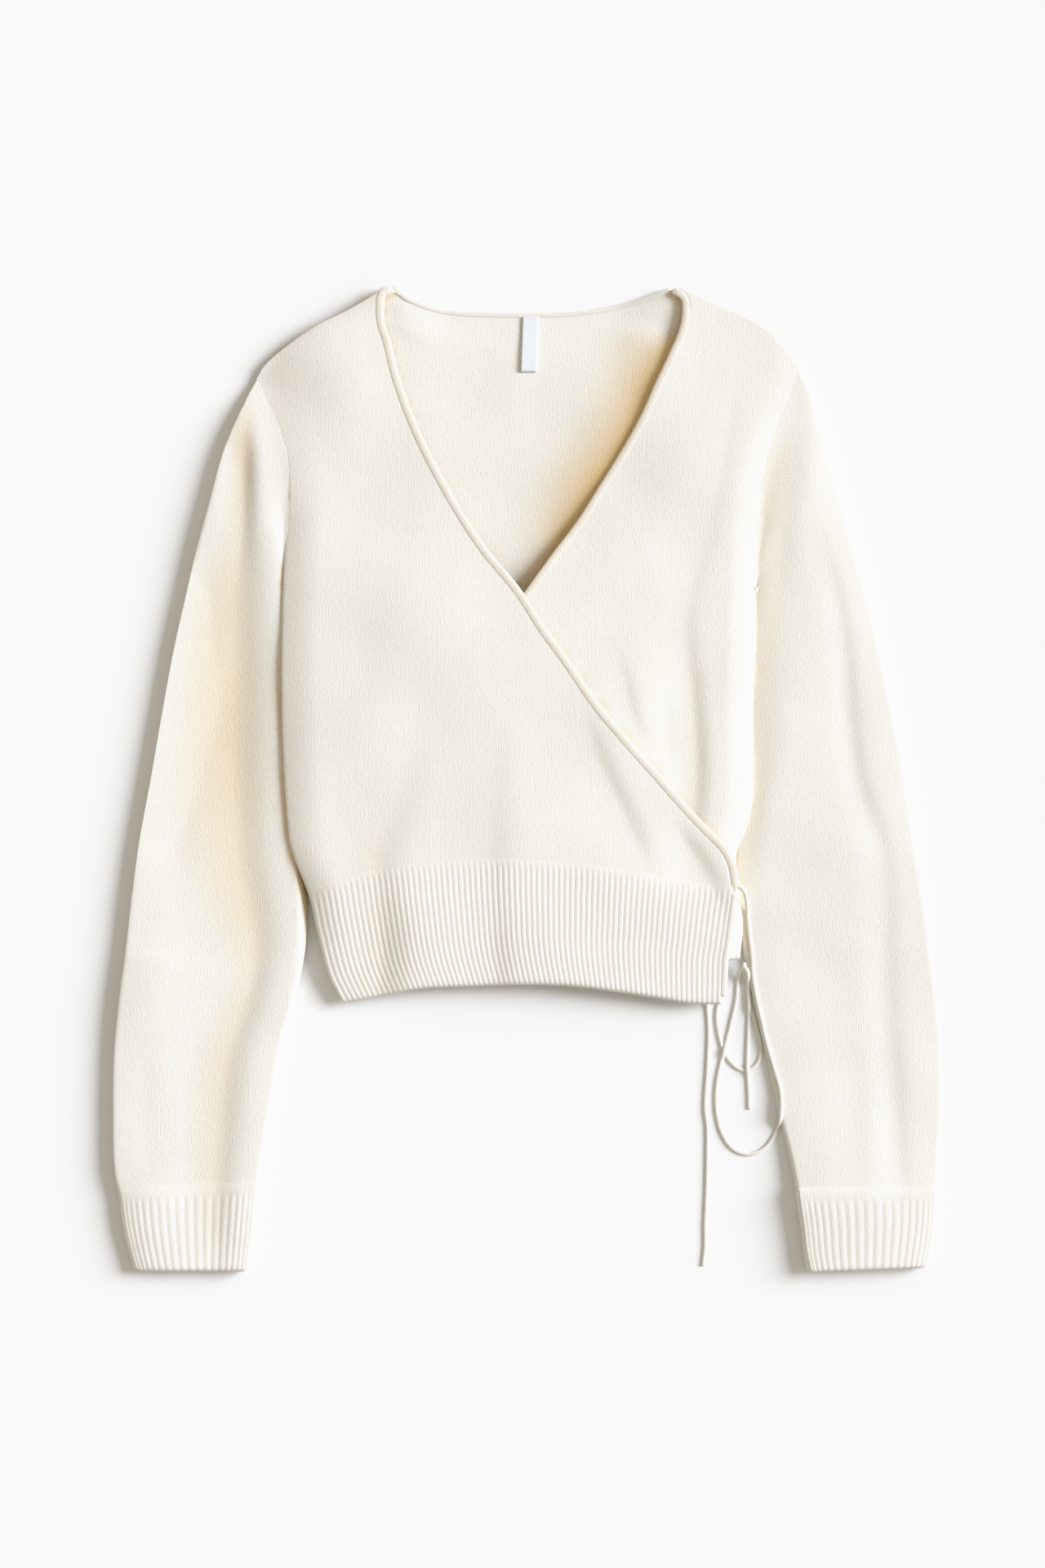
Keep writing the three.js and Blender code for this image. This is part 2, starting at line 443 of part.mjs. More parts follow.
function addPiece(name, geometry, color, roughness) {
  const side = THREE.DoubleSide;
  const material = new THREE.MeshStandardMaterial({ color, roughness, metalness: 0, side });
  const mesh = new THREE.Mesh(geometry, material);
  mesh.name = name;
  cardigan.add(mesh);
  return mesh;
}

// Places across a piece, as shares of it: close together over the rim, then even between marks.
function stations(length, rim, spans, bothEnds) {
  const ends = rim.map((step) => step / length);
  const middle = [];
  let from = ends[ends.length - 1];
  for (const span of spans) {
    const to = span.to ?? (bothEnds ? 1 - ends[ends.length - 1] : 1);
    for (let i = 1; i <= span.steps; i += 1) middle.push(lerp(from, to, i / span.steps));
    from = to;
  }
  if (!bothEnds) return [...ends, ...middle];
  return [...ends, ...middle, ...ends.slice(0, -1).reverse().map((end) => 1 - end)];
}

// A panel stretched between four edges, lifted to its height.
function panelGrid({ top, bottom, first, last, rimAcross, rimDown, across, down, bothSides, height }) {
  const corner = [top(0), top(1), bottom(0), bottom(1)];
  const downStations = stations(corner[0].distanceTo(corner[2]), rimDown, down, false);
  return downStations.map((v) => {
    const a = first(v);
    const b = last(v);
    return stations(a.distanceTo(b), rimAcross, across, bothSides).map((u) => {
      const t = top(u);
      const s = bottom(u);
      const blend = (axis) =>
        lerp(a[axis], b[axis], u) + lerp(t[axis], s[axis], v) -
        lerp(lerp(corner[0][axis], corner[1][axis], u), lerp(corner[2][axis], corner[3][axis], u), v);
      const x = blend("x");
      const y = blend("y");
      return new THREE.Vector3(x, y, height(x, y));
    });
  });
}

// An edge that runs through the rows of a table, by its length.
function edgeCurve(rows) {
  const points = rows.map((row) => new THREE.Vector3(row.x, row.y, 0));
  const curve = new THREE.CatmullRomCurve3(points, false, "centripetal");
  return (share) => curve.getPointAt(clamp(share, 0, 1));
}

// An edge across the piece, at even places in x, and an edge down a side, at even places in y.
function acrossEdge(rows, x0, x1) {
  return (u) => {
    const x = lerp(x0, x1, u);
    return new THREE.Vector3(x, column(rows, "x", "y", x), 0);
  };
}
function sideCurve(side, y0, y1) {
  return (v) => {
    const y = lerp(y0, y1, v);
    return new THREE.Vector3(side(y), y, 0);
  };
}

const RIM_STEPS = [0, 1.2, 4.5, 10, 18];
const BACK_RIM_STEPS = [0, 1, 4, 9, 18, 30];
const SHOULDER_STEPS = [0, 2, 7, 16];
const NO_RIM = [0];
const bodyWidth = LEFT_SIDE[0].x - RIGHT_SIDE[0].x;
const BACK_SPANS = [
  { to: (NECK_RIGHT_X - RIGHT_SIDE[0].x) / bodyWidth, steps: 2 },
  { to: (NECK_LEFT_X - RIGHT_SIDE[0].x) / bodyWidth, steps: 6 },
  { steps: 2 },
];
const hemGap = (rows) => rows.map((row) => ({ x: row.x, y: row.y - SEAM_GAP }));
const RIB_TOP = hemGap(RIB_LINE);
const sideAtRib = { right: RIGHT_SIDE[13].y, left: LEFT_SIDE[15].y };

// Back: the two sides are folds from the underarm down, and armholes above it.
const backGrid = panelGrid({
  top: acrossEdge(TOP_LINE, TOP_LINE[0].x, TOP_LINE[TOP_LINE.length - 1].x),
  bottom: acrossEdge(RIB_LINE, rightSide(sideAtRib.right), leftSide(sideAtRib.left)),
  first: sideCurve(rightSide, RIGHT_SIDE[0].y, sideAtRib.right),
  last: sideCurve(leftSide, LEFT_SIDE[0].y, sideAtRib.left),
  rimAcross: BACK_RIM_STEPS, rimDown: SHOULDER_STEPS,
  across: BACK_SPANS, down: [{ steps: 14 }], bothSides: true,
  height: backHeight,
});
addPiece("back_panel", wallGeometry(backGrid, JERSEY_WALL, 1, belowSeam), CREAM, JERSEY_ROUGHNESS);

const rightFree = edgeCurve(RIGHT_FREE);
const rightGrid = panelGrid({
  top: acrossEdge(TOP_LINE, TOP_LINE[0].x, RIGHT_FREE[0].x),
  bottom: acrossEdge(RIB_LINE, rightSide(sideAtRib.right), RIGHT_FREE[RIGHT_FREE.length - 1].x),
  first: sideCurve(rightSide, RIGHT_SIDE[0].y, sideAtRib.right),
  last: rightFree,
  rimAcross: RIM_STEPS, rimDown: SHOULDER_STEPS,
  across: [{ steps: 10 }], down: [{ steps: 14 }], bothSides: false,
  height: rightHeight,
});
addPiece("right_front", wallGeometry(rightGrid, JERSEY_WALL, -1, aboveRightSeam), CREAM, JERSEY_ROUGHNESS);

const leftFree = edgeCurve(LEFT_FREE);
const leftGrid = panelGrid({
  top: acrossEdge(TOP_LINE, TOP_LINE[TOP_LINE.length - 1].x, LEFT_FREE[0].x),
  bottom: acrossEdge(RIB_LINE, leftSide(sideAtRib.left), LEFT_FREE[LEFT_FREE.length - 1].x),
  first: sideCurve(leftSide, LEFT_SIDE[0].y, sideAtRib.left),
  last: leftFree,
  rimAcross: RIM_STEPS, rimDown: SHOULDER_STEPS,
  across: [{ steps: 10 }], down: [{ steps: 14 }], bothSides: false,
  height: leftHeight,
});
addPiece("left_front", wallGeometry(leftGrid, JERSEY_WALL, 1, aboveLeftSeam), CREAM, JERSEY_ROUGHNESS);

// Hem ribs, thicker than the jersey and pulled in a little.
const backRibGrid = panelGrid({
  top: acrossEdge(RIB_TOP, rightSide(sideAtRib.right - SEAM_GAP), leftSide(sideAtRib.left - SEAM_GAP)),
  bottom: acrossEdge(HIDDEN_HEM, HIDDEN_HEM[0].x, HIDDEN_HEM[HIDDEN_HEM.length - 1].x),
  first: sideCurve(rightSide, sideAtRib.right - SEAM_GAP, HIDDEN_HEM[0].y),
  last: sideCurve(leftSide, sideAtRib.left - SEAM_GAP, HIDDEN_HEM[HIDDEN_HEM.length - 1].y),
  rimAcross: BACK_RIM_STEPS, rimDown: NO_RIM, across: [{ steps: 7 }], down: [{ steps: 4 }], bothSides: true,
  height: backHeight,
});
addPiece("hem_rib_back", wallGeometry(backRibGrid, RIB_WALL, 1, belowSeam), RIB_CREAM, JERSEY_ROUGHNESS);

const rightRibGrid = panelGrid({
  top: acrossEdge(RIB_TOP, rightSide(sideAtRib.right - SEAM_GAP), RIB_FREE[0].x),
  bottom: acrossEdge(FRONT_HEM, FRONT_HEM[0].x, FRONT_HEM[FRONT_HEM.length - 1].x),
  first: sideCurve(rightSide, sideAtRib.right - SEAM_GAP, FRONT_HEM[0].y),
  last: edgeCurve(RIB_FREE),
  rimAcross: RIM_STEPS, rimDown: NO_RIM, across: [{ steps: 10 }], down: [{ steps: 5 }], bothSides: false,
  height: rightHeight,
});
const rightRib = wallGeometry(rightRibGrid, RIB_WALL, -1, aboveRightSeam);
addPiece("hem_rib_right", rightRib, RIB_CREAM, JERSEY_ROUGHNESS);

const leftRibGrid = panelGrid({
  top: acrossEdge(RIB_TOP, leftSide(sideAtRib.left - SEAM_GAP), HIDDEN_RIB_FREE[0].x),
  bottom: acrossEdge(HIDDEN_HEM, HIDDEN_HEM[HIDDEN_HEM.length - 1].x, HIDDEN_RIB_FREE[1].x),
  first: sideCurve(leftSide, sideAtRib.left - SEAM_GAP, HIDDEN_HEM[HIDDEN_HEM.length - 1].y),
  last: edgeCurve(HIDDEN_RIB_FREE),
  rimAcross: RIM_STEPS, rimDown: NO_RIM, across: [{ steps: 8 }], down: [{ steps: 4 }], bothSides: false,
  height: leftHeight,
});
const leftRib = wallGeometry(leftRibGrid, RIB_WALL, 1, aboveLeftSeam);
addPiece("hem_rib_left", leftRib, RIB_CREAM, JERSEY_ROUGHNESS);

// A rolled band along an edge: its middle line is the edge moved outwards by half its width.
function bandGeometry(edge, inside, width, thickness, wall) {
  const last = edge.length - 1;
  const sections = edge.map((point, i) => {
    const run = edge[Math.min(i + 1, last)].clone().sub(edge[Math.max(i - 1, 0)]).normalize();
    const inner = inside[i].clone().sub(point);
    const out = inner.addScaledVector(run, -inner.dot(run)).normalize().negate();
    const normal = out.clone().cross(run).normalize();
    if (normal.z < 0) normal.negate();
    const middle = point.clone().addScaledVector(out, SEAM_GAP + width / 2).addScaledVector(normal, wall);
    const section = [];
    for (let k = 0; k < BAND_SIDES; k += 1) {
      const turn = (2 * Math.PI * (k + 0.5)) / BAND_SIDES;
      section.push(middle.clone()
        .addScaledVector(out, (Math.cos(turn) / Math.cos(Math.PI / BAND_SIDES)) * (width / 2))
        .addScaledVector(normal, Math.sin(turn) * (thickness / 2)));
    }
    return section;
  });
  const positions = sections.flat().flatMap((p) => [p.x, p.y, p.z]);
  const faces = [];
  for (let i = 0; i < last; i += 1) {
    for (let k = 0; k < BAND_SIDES; k += 1) {
      const a = i * BAND_SIDES + k;
      const b = i * BAND_SIDES + ((k + 1) % BAND_SIDES);
      faces.push(a, b, b + BAND_SIDES, a, b + BAND_SIDES, a + BAND_SIDES);
    }
  }
  for (let k = 1; k < BAND_SIDES - 1; k += 1) {
    faces.push(0, k + 1, k);
    faces.push(last * BAND_SIDES, last * BAND_SIDES + k, last * BAND_SIDES + k + 1);
  }
  const geometry = new THREE.BufferGeometry();
  geometry.setAttribute("position", new THREE.Float32BufferAttribute(positions, 3));
  geometry.setIndex(faces);
  if (signedVolume(geometry) < 0) {
    const turned = [];
    for (let i = 0; i < faces.length; i += 3) turned.push(faces[i], faces[i + 2], faces[i + 1]);
    geometry.setIndex(turned);
  }
  geometry.computeVertexNormals();
  return geometry;
}

function signedVolume(geometry) {
  const position = geometry.getAttribute("position");
  const index = geometry.getIndex();
  const corner = (i) => new THREE.Vector3().fromBufferAttribute(position, index.getX(i));
  let volume = 0;
  for (let i = 0; i < index.count; i += 3) volume += corner(i).dot(corner(i + 1).cross(corner(i + 2)));
  return volume;
}

const lastOf = (row) => row[row.length - 1];
const beforeLastOf = (row) => row[row.length - 2];
const MID_JERSEY = -JERSEY_WALL / 2;
const MID_RIB = -RIB_WALL / 2;
// A band along the free side of a grid, its middle at the given depth under the grid's outer face.
function addEdgeBand(name, grid, width, depth) {
  const band = bandGeometry(grid.map(lastOf), grid.map(beforeLastOf), width, BAND_THICKNESS, depth);
  addPiece(name, band, RIB_CREAM, JERSEY_ROUGHNESS);
}
addEdgeBand("band_right", rightGrid.slice(1), BAND_WIDTH, MID_JERSEY);
addEdgeBand("band_left", leftGrid.slice(1), BAND_WIDTH, MID_JERSEY);
addEdgeBand("rib_edge", rightRibGrid.slice(0, -1), RIB_EDGE_WIDTH, MID_RIB);

const bandFrom = NECK_RIGHT_X + NECK_BAND_INSET;
const bandTo = NECK_LEFT_X - NECK_BAND_INSET;
const inNeck = backGrid[0]
  .map((point, j) => ({ point, inside: backGrid[1][j] }))
  .filter(({ point }) => point.x > bandFrom && point.x < bandTo);
const neckEdge = inNeck.map((place) => place.point);
const neckInside = inNeck.map((place) => place.inside);
const neckBand = bandGeometry(neckEdge, neckInside, NECK_BAND_WIDTH, BAND_THICKNESS, BAND_THICKNESS / 2);
addPiece("band_neck", neckBand, RIB_CREAM, JERSEY_ROUGHNESS);

// A sleeve's side: tightly rounded at its fold, with a share of slow rise to its middle.
function sleeveRim(inward, slowShare) {
  const slow = 1 - (1 - clamp(inward / SLEEVE_SLOW_RIM, 0, 1)) ** 2;
  return lerp(rounding(inward, SLEEVE_TIGHT_RIM), slow, slowShare);
}

// Depth of the long troughs at a place on a sleeve, by shares of its length and of its width.
function sleeveDent(folds, length, across) {
  let dent = 0;
  for (const fold of folds) {
    const along = clamp((length - fold.from) / (fold.to - fold.from), 0, 1);
    const middle = fold.across + fold.drift * along;
    dent += fold.depth * Math.sin(Math.PI * along) * Math.exp(-(((across - middle) / fold.width) ** 2));
  }
  return dent;
}

// A sleeve or cuff: a flat-bottomed ring for each row, joined into a tube with an open hollow. The
// first ring of a sleeve takes the height of the body's edge at the armhole.
function tubeGeometry({ rows, folds, armhole, panel, wall, slowShare }) {
  const first = rows[0];
  const outer = [];
  const inner = [];
  rows.forEach((row, n) => {
    const length = n / (rows.length - 1);
    const width = Math.hypot(row.inX - row.outX, row.inY - row.outY);
    const place = (across, wallIn, upper) => {
      const x = lerp(row.outX, row.inX, across);
      const y = lerp(row.outY, row.inY, across);
      const chordX = lerp(first.outX, first.inX, across);
      const chordY = lerp(first.outY, first.inY, across);
      const bow = row.follow * (armhole(chordY) - chordX);
      const inward = (1 - across) * width;
      const outward = across * width;
      const ramp = 1 - row.tuck * (1 - smoothstep(inward, TUCK_FLAT, TUCK_RISE));
      const arch = Math.sqrt(1 - (2 * across - 1) ** 2);
      const pressed = sleeveRim(outward, slowShare) * sleeveRim(inward, INNER_SLOW_SHARE);
      const full = lerp(pressed, arch, row.follow);
      const edge = lerp(row.outZ, row.inZ, across);
      const flap = FLAP_SHARE * row.inZ * rounding(inward, FLAP_RIM) * (1 - ramp);
      const body = row.topZ - sleeveDent(folds, length, across);
      const bottomRim = lerp(SLEEVE_BOTTOM_RIM, FLAP_RIM, row.tuck);
      const bottomZ = edge * (1 - rounding(Math.min(inward, outward), bottomRim));
      const ownZ = edge + Math.max(body - edge, 0) * full * ramp + flap;
      const atBody = panel && n === 0;
      const topZ = atBody ? Math.max(panel(armhole(chordY), chordY), bottomZ + LEAST_OPENING) : ownZ;
      const half = (topZ - bottomZ) / 2;
      const shrunk = wallIn > 0 ? Math.max(half - wallIn, LEAST_SHARE * half) : half;
      const z = (topZ + bottomZ) / 2 + (upper ? shrunk : -shrunk);
      return new THREE.Vector3(x + bow, y, z);
    };
    const inset = wall / width;
    const turns = Array.from({ length: SLEEVE_SIDES }, (_, k) => (2 * Math.PI * k) / SLEEVE_SIDES);
    const share = (turn) => (1 - Math.cos(turn)) / 2;
    outer.push(turns.map((turn) => place(share(turn), 0, turn < Math.PI)));
    inner.push(turns.map((turn) => place(lerp(inset, 1 - inset, share(turn)), wall, turn < Math.PI)));
  });
  const geometry = closedGrid(outer, inner, true, false);
  return signedVolume(geometry) < 0 ? closedGrid(outer, inner, true, true) : geometry;
}

const rightArmhole = (y) => rightSide(y) - ARMHOLE_GAP;
const leftArmhole = (y) => leftSide(y) + ARMHOLE_GAP;
addPiece("right_sleeve", tubeGeometry({
  rows: RIGHT_SLEEVE, folds: RIGHT_SLEEVE_FOLDS, armhole: rightArmhole, panel: rightHeight,
  wall: JERSEY_WALL, slowShare: RIGHT_SLOW_SHARE,
}), CREAM, JERSEY_ROUGHNESS);
const leftSleeve = addPiece("left_sleeve", tubeGeometry({
  rows: LEFT_SLEEVE, folds: LEFT_SLEEVE_FOLDS, armhole: leftArmhole, panel: leftHeight,
  wall: JERSEY_WALL, slowShare: LEFT_SLOW_SHARE,
}), CREAM, JERSEY_ROUGHNESS);
addPiece("right_cuff", tubeGeometry({
  rows: RIGHT_CUFF, folds: [], armhole: rightArmhole, panel: null,
  wall: RIB_WALL, slowShare: RIGHT_SLOW_SHARE,
}), RIB_CREAM, JERSEY_ROUGHNESS);
addPiece("left_cuff", tubeGeometry({
  rows: LEFT_CUFF, folds: [], armhole: leftArmhole, panel: null,
  wall: RIB_WALL, slowShare: LEFT_SLOW_SHARE,
}), RIB_CREAM, JERSEY_ROUGHNESS);

// Neck label: a folded satin loop that lies on the inside of the back.
const labelShape = new THREE.BoxGeometry(LABEL_WIDTH, LABEL_LENGTH, LABEL_THICKNESS);
const label = addPiece("neck_label", labelShape, SATIN_WHITE, SATIN_ROUGHNESS);
label.position.set(LABEL_X, LABEL_Y, JERSEY_WALL + SEAM_GAP + LABEL_THICKNESS / 2);

// Ties: round cords laid along their routes, each resting on whatever is under it.
function cordGeometry(route, steps) {
  const radius = TIE_DIAMETER / 2;
  const section = new THREE.Shape();
  for (let k = 0; k < TIE_SIDES; k += 1) {
    const turn = (2 * Math.PI * k) / TIE_SIDES;
    if (k === 0) section.moveTo(radius, 0);
    else section.lineTo(radius * Math.cos(turn), radius * Math.sin(turn));
  }
  section.closePath();
  const geometry = new THREE.ExtrudeGeometry(section, { steps, bevelEnabled: false, extrudePath: route });
  geometry.deleteAttribute("normal");
  geometry.deleteAttribute("uv");
  return geometry;
}

const down = new THREE.Vector3(0, 0, -1);
const RAY_TOP = 100;
function restingHeight(x, y, pieces) {
  const reach = TIE_DIAMETER / 2 + SEAM_GAP;
  const ray = new THREE.Raycaster();
  let height = 0;
  for (let k = 0; k <= TIE_SIDES; k += 1) {
    const turn = (2 * Math.PI * k) / TIE_SIDES;
    const away = k === TIE_SIDES ? 0 : reach;
    ray.set(new THREE.Vector3(x + away * Math.cos(turn), y + away * Math.sin(turn), RAY_TOP), down);
    const hit = ray.intersectObjects(pieces, false)[0];
    if (hit) height = Math.max(height, hit.point.z + SEAM_GAP);
  }
  return height + TIE_DIAMETER / 2 + TIE_CLEARANCE;
}

function laidRoute(rows, pieces) {
  const points = rows.map((row) => new THREE.Vector3(row.x, row.y, 0));
  const flat = new THREE.CatmullRomCurve3(points, false, "centripetal");
  const steps = Math.round(flat.getLength() / TIE_STEP);
  const places = flat.getSpacedPoints(Math.round(flat.getLength() / TIE_SAMPLE));
  for (const place of places) place.z = restingHeight(place.x, place.y, pieces);
  const holdUp = (place, neighbour) => place.setZ(Math.max(place.z, neighbour.z - TIE_FALL));
  for (let i = 1; i < places.length; i += 1) holdUp(places[i], places[i - 1]);
  for (let i = places.length - 2; i >= 0; i -= 1) holdUp(places[i], places[i + 1]);
  return { curve: new THREE.CatmullRomCurve3(places, false, "centripetal"), steps };
}

cardigan.updateMatrixWorld(true);
const sideRoute = laidRoute(TIE_SIDE_ROUTE, [leftSleeve]);
addPiece("tie_side", cordGeometry(sideRoute.curve, sideRoute.steps), TIE_CREAM, TIE_ROUGHNESS);
cardigan.updateMatrixWorld(true);
const under = cardigan.children.filter((piece) =>
  ["left_sleeve", "tie_side", "hem_rib_left", "hem_rib_back"].includes(piece.name));
const frontRoute = laidRoute(TIE_FRONT_ROUTE, under);
addPiece("tie_front", cordGeometry(frontRoute.curve, frontRoute.steps), TIE_CREAM, TIE_ROUGHNESS);

export default cardigan;
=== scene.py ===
import math

import bmesh
import bpy
import numpy as np
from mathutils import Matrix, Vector, noise
from mathutils.bvhtree import BVHTree
from mathutils.kdtree import KDTree


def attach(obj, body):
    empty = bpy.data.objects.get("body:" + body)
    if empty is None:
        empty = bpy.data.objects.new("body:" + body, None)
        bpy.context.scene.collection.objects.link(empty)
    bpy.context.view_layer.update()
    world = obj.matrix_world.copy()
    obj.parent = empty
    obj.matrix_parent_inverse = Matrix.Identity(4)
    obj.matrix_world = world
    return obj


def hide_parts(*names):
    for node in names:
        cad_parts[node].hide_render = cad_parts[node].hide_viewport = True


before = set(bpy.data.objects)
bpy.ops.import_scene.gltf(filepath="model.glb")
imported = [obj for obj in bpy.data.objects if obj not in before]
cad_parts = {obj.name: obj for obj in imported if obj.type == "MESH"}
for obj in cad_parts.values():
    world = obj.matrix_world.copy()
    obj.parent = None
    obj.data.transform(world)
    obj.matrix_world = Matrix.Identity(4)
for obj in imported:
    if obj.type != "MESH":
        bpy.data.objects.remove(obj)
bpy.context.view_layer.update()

MM = 0.001

# ---------------------------------------------------------------- Camera, table and light
# The garment lies on a white table and is seen from straight above, with its neck at the top.
# One large soft lamp stands low on its left arm's side, and the room is warm white all round.
camera = bpy.data.objects.new("camera", bpy.data.cameras.new("camera"))
bpy.context.scene.collection.objects.link(camera)
camera.location = (-0.0034, -0.0036, 3.01)
camera.data.lens = 100.3
camera.data.sensor_width = 36
camera.data.clip_end = 100
bpy.context.scene.camera = camera

bm = bmesh.new()
bmesh.ops.create_grid(bm, x_segments=2, y_segments=2, size=30)
table_mesh = bpy.data.meshes.new("white_table")
bm.to_mesh(table_mesh)
bm.free()
white_table = bpy.data.objects.new("white_table", table_mesh)
bpy.context.scene.collection.objects.link(white_table)

table_white = bpy.data.materials.new("matt white table")
table_white.use_nodes = True
nodes, links = table_white.node_tree.nodes, table_white.node_tree.links
board = nodes["Principled BSDF"]
board.inputs["Roughness"].default_value = 0.9
board.inputs["Specular IOR Level"].default_value = 0.1
table_place = nodes.new("ShaderNodeTexCoord")
table_grain = nodes.new("ShaderNodeTexNoise")
table_grain.inputs["Scale"].default_value = 6
links.new(table_place.outputs["Object"], table_grain.inputs["Vector"])
table_colour = nodes.new("ShaderNodeMix")
table_colour.data_type = "RGBA"
table_colour.inputs["A"].default_value = (0.865, 0.865, 0.865, 1)
table_colour.inputs["B"].default_value = (0.875, 0.875, 0.875, 1)
links.new(table_grain.outputs["Fac"], table_colour.inputs["Factor"])
links.new(table_colour.outputs["Result"], board.inputs["Base Color"])
table_mesh.materials.append(table_white)

lamp = bpy.data.objects.new("soft lamp", bpy.data.lights.new("soft lamp", "SUN"))
bpy.context.scene.collection.objects.link(lamp)
lamp.data.angle = math.radians(29)
lamp.data.energy = 4.6
lamp.data.color = (1, 1.07, 1.2)
lamp.location = (5.27, 1.5, 2.45)
lamp.rotation_euler = (-lamp.location).to_track_quat("-Z", "Y").to_euler()

room = bpy.data.worlds.new("white room")
room.use_nodes = True
room.node_tree.nodes["Background"].inputs["Color"].default_value = (1, 0.92, 0.77, 1)
room.node_tree.nodes["Background"].inputs["Strength"].default_value = 0.49
bpy.context.scene.world = room
bpy.context.scene.view_settings.view_transform = "Standard"

# The brightest cloth keeps its tone: light over the table's own white is held back
tone = bpy.context.scene.view_settings
tone.use_curve_mapping = True
brightest, brightest_shown = 2, 0.98
tone.curve_mapping.white_level = (brightest, brightest, brightest)
tone_curve = tone.curve_mapping.curves[3]
tone_curve.points[1].location = (1, brightest_shown)
for light, shown in ((0.3, 0.3), (0.6, 0.6), (0.8, 0.8), (0.9, 0.898), (0.95, 0.942),
                     (1.02, 0.956), (1.2, 0.964)):
    tone_curve.points.new(light / brightest, shown)
for point in tone_curve.points:
    point.handle_type = "VECTOR"
tone.curve_mapping.update()

# ---------------------------------------------------------------- Back
# The back is one jersey panel from the shoulders to the hem rib, lying flat on the table. It turns
# up at both side folds to meet the fronts, and its inside shows through the neck.
jersey_wall = 1.8
arch_foot = 178
neck_right, neck_left = -97, 103
right_tip, left_tip = (-186.5, 275), (186, 282)
back_edge = 4.4
right_side = [(275, -186.5), (262, -180), (242, -171.5), (221, -165.5), (198, -164), (175, -165.5),
              (142, -167.5), (108, -168.5), (73, -169), (19, -168), (-39, -164), (-55, -160),
              (-70, -154), (-84, -149), (-103, -145), (-135, -136.5), (-154, -127)]
left_side = [(282, 186), (265, 181), (247, 174.5), (229, 168.5), (210, 164), (191, 160.5),
             (170, 158.5), (144, 157), (103, 157), (52, 155), (-4, 155), (-26, 152.5),
             (-38, 149), (-50, 144), (-62, 143.5), (-78, 145), (-99, 148), (-124, 146)]
shoulder_line = [(-186.5, 275), (-181, 284), (-169, 295), (-147, 310.5), (-124, 322),
                 (-106, 332.6), (-100, 337.3), (-94.5, 338.4), (-89, 335.2), (-82, 330.4), (-59, 322.5),
                 (-26, 320), (30, 320.5), (64, 325.5), (88, 332.4), (95, 335.4), (102, 337.2),
                 (108, 335.6), (120, 329.7), (135, 323.5), (151, 316),
                 (164, 308), (175, 297), (186, 282)]
rib_line = [(-149, -84), (-130, -74), (-100, -65), (-60, -60), (-22, -58), (30, -61),
            (75, -68), (114, -75), (145, -79)]
right_fold_height = [(290, 6), (210, 7.5), (134, 10), (-50, 10), (-124, 8), (-156, 6)]
left_fold_height = [(290, 6), (210, 7), (134, 8.6), (-50, 8.6), (-124, 6), (-156, 6)]
back_fall = [(0, 1), (1, 0.8), (4, 0.66), (9, 0.54), (18, 0.25), (30, 0)]
back_swell = [[(120, 300, 0, 26), (114, 285, -3.4, 28), (98, 244, -4.4, 28), (80, 208, -4.6, 28),
               (56, 176, -4.4, 28), (34, 148, -2, 26), (14, 122, 0, 22)]]


def through(rows, at):
    """A smooth line through rows of (place, value), read at other places."""
    k = np.array(rows, float)
    if k[0, 0] > k[-1, 0]:
        k = k[::-1]
    p, value = k[:, 0], k[:, 1]
    at = np.clip(at, p[0], p[-1])
    i = np.clip(np.searchsorted(p, at, side="right") - 1, 0, len(p) - 2)
    before, after = np.maximum(i - 1, 0), np.minimum(i + 2, len(p) - 1)
    span = p[i + 1] - p[i]
    t = (at - p[i]) / span
    slope_a = (value[i + 1] - value[before]) / (p[i + 1] - p[before]) * span
    slope_b = (value[after] - value[i]) / (p[after] - p[i]) * span
    return (value[i] * (2 * t**3 - 3 * t**2 + 1) + slope_a * (t**3 - 2 * t**2 + t)
            + value[i + 1] * (3 * t**2 - 2 * t**3) + slope_b * (t**3 - t**2))


def along_edge(points, share):
    """Places on a smooth edge through points, by the share of its length."""
    p = np.array(points, float)
    run = np.concatenate([[0], np.cumsum(np.hypot(*np.diff(p[:, :2], axis=0).T))])
    at = share * run[-1]
    return through(np.c_[run, p[:, 0]], at), through(np.c_[run, p[:, 1]], at)


def smooth(low, high, value):
    t = np.clip((value - low) / (high - low), 0, 1)
    return t * t * (3 - 2 * t)


def rounded(inward, rim):
    """Quarter round over a fold: 0 on the fold, 1 once the rim is passed."""
    return np.sqrt(1 - (1 - np.clip(inward / rim, 0, 1)) ** 2)


def soft_waves(x, y, length, seed):
    """Gentle hollows and swells of resting cloth, from about -1 to 1."""
    return np.array([noise.noise((a / length, b / length, seed)) for a, b in zip(x, y)]) * 2


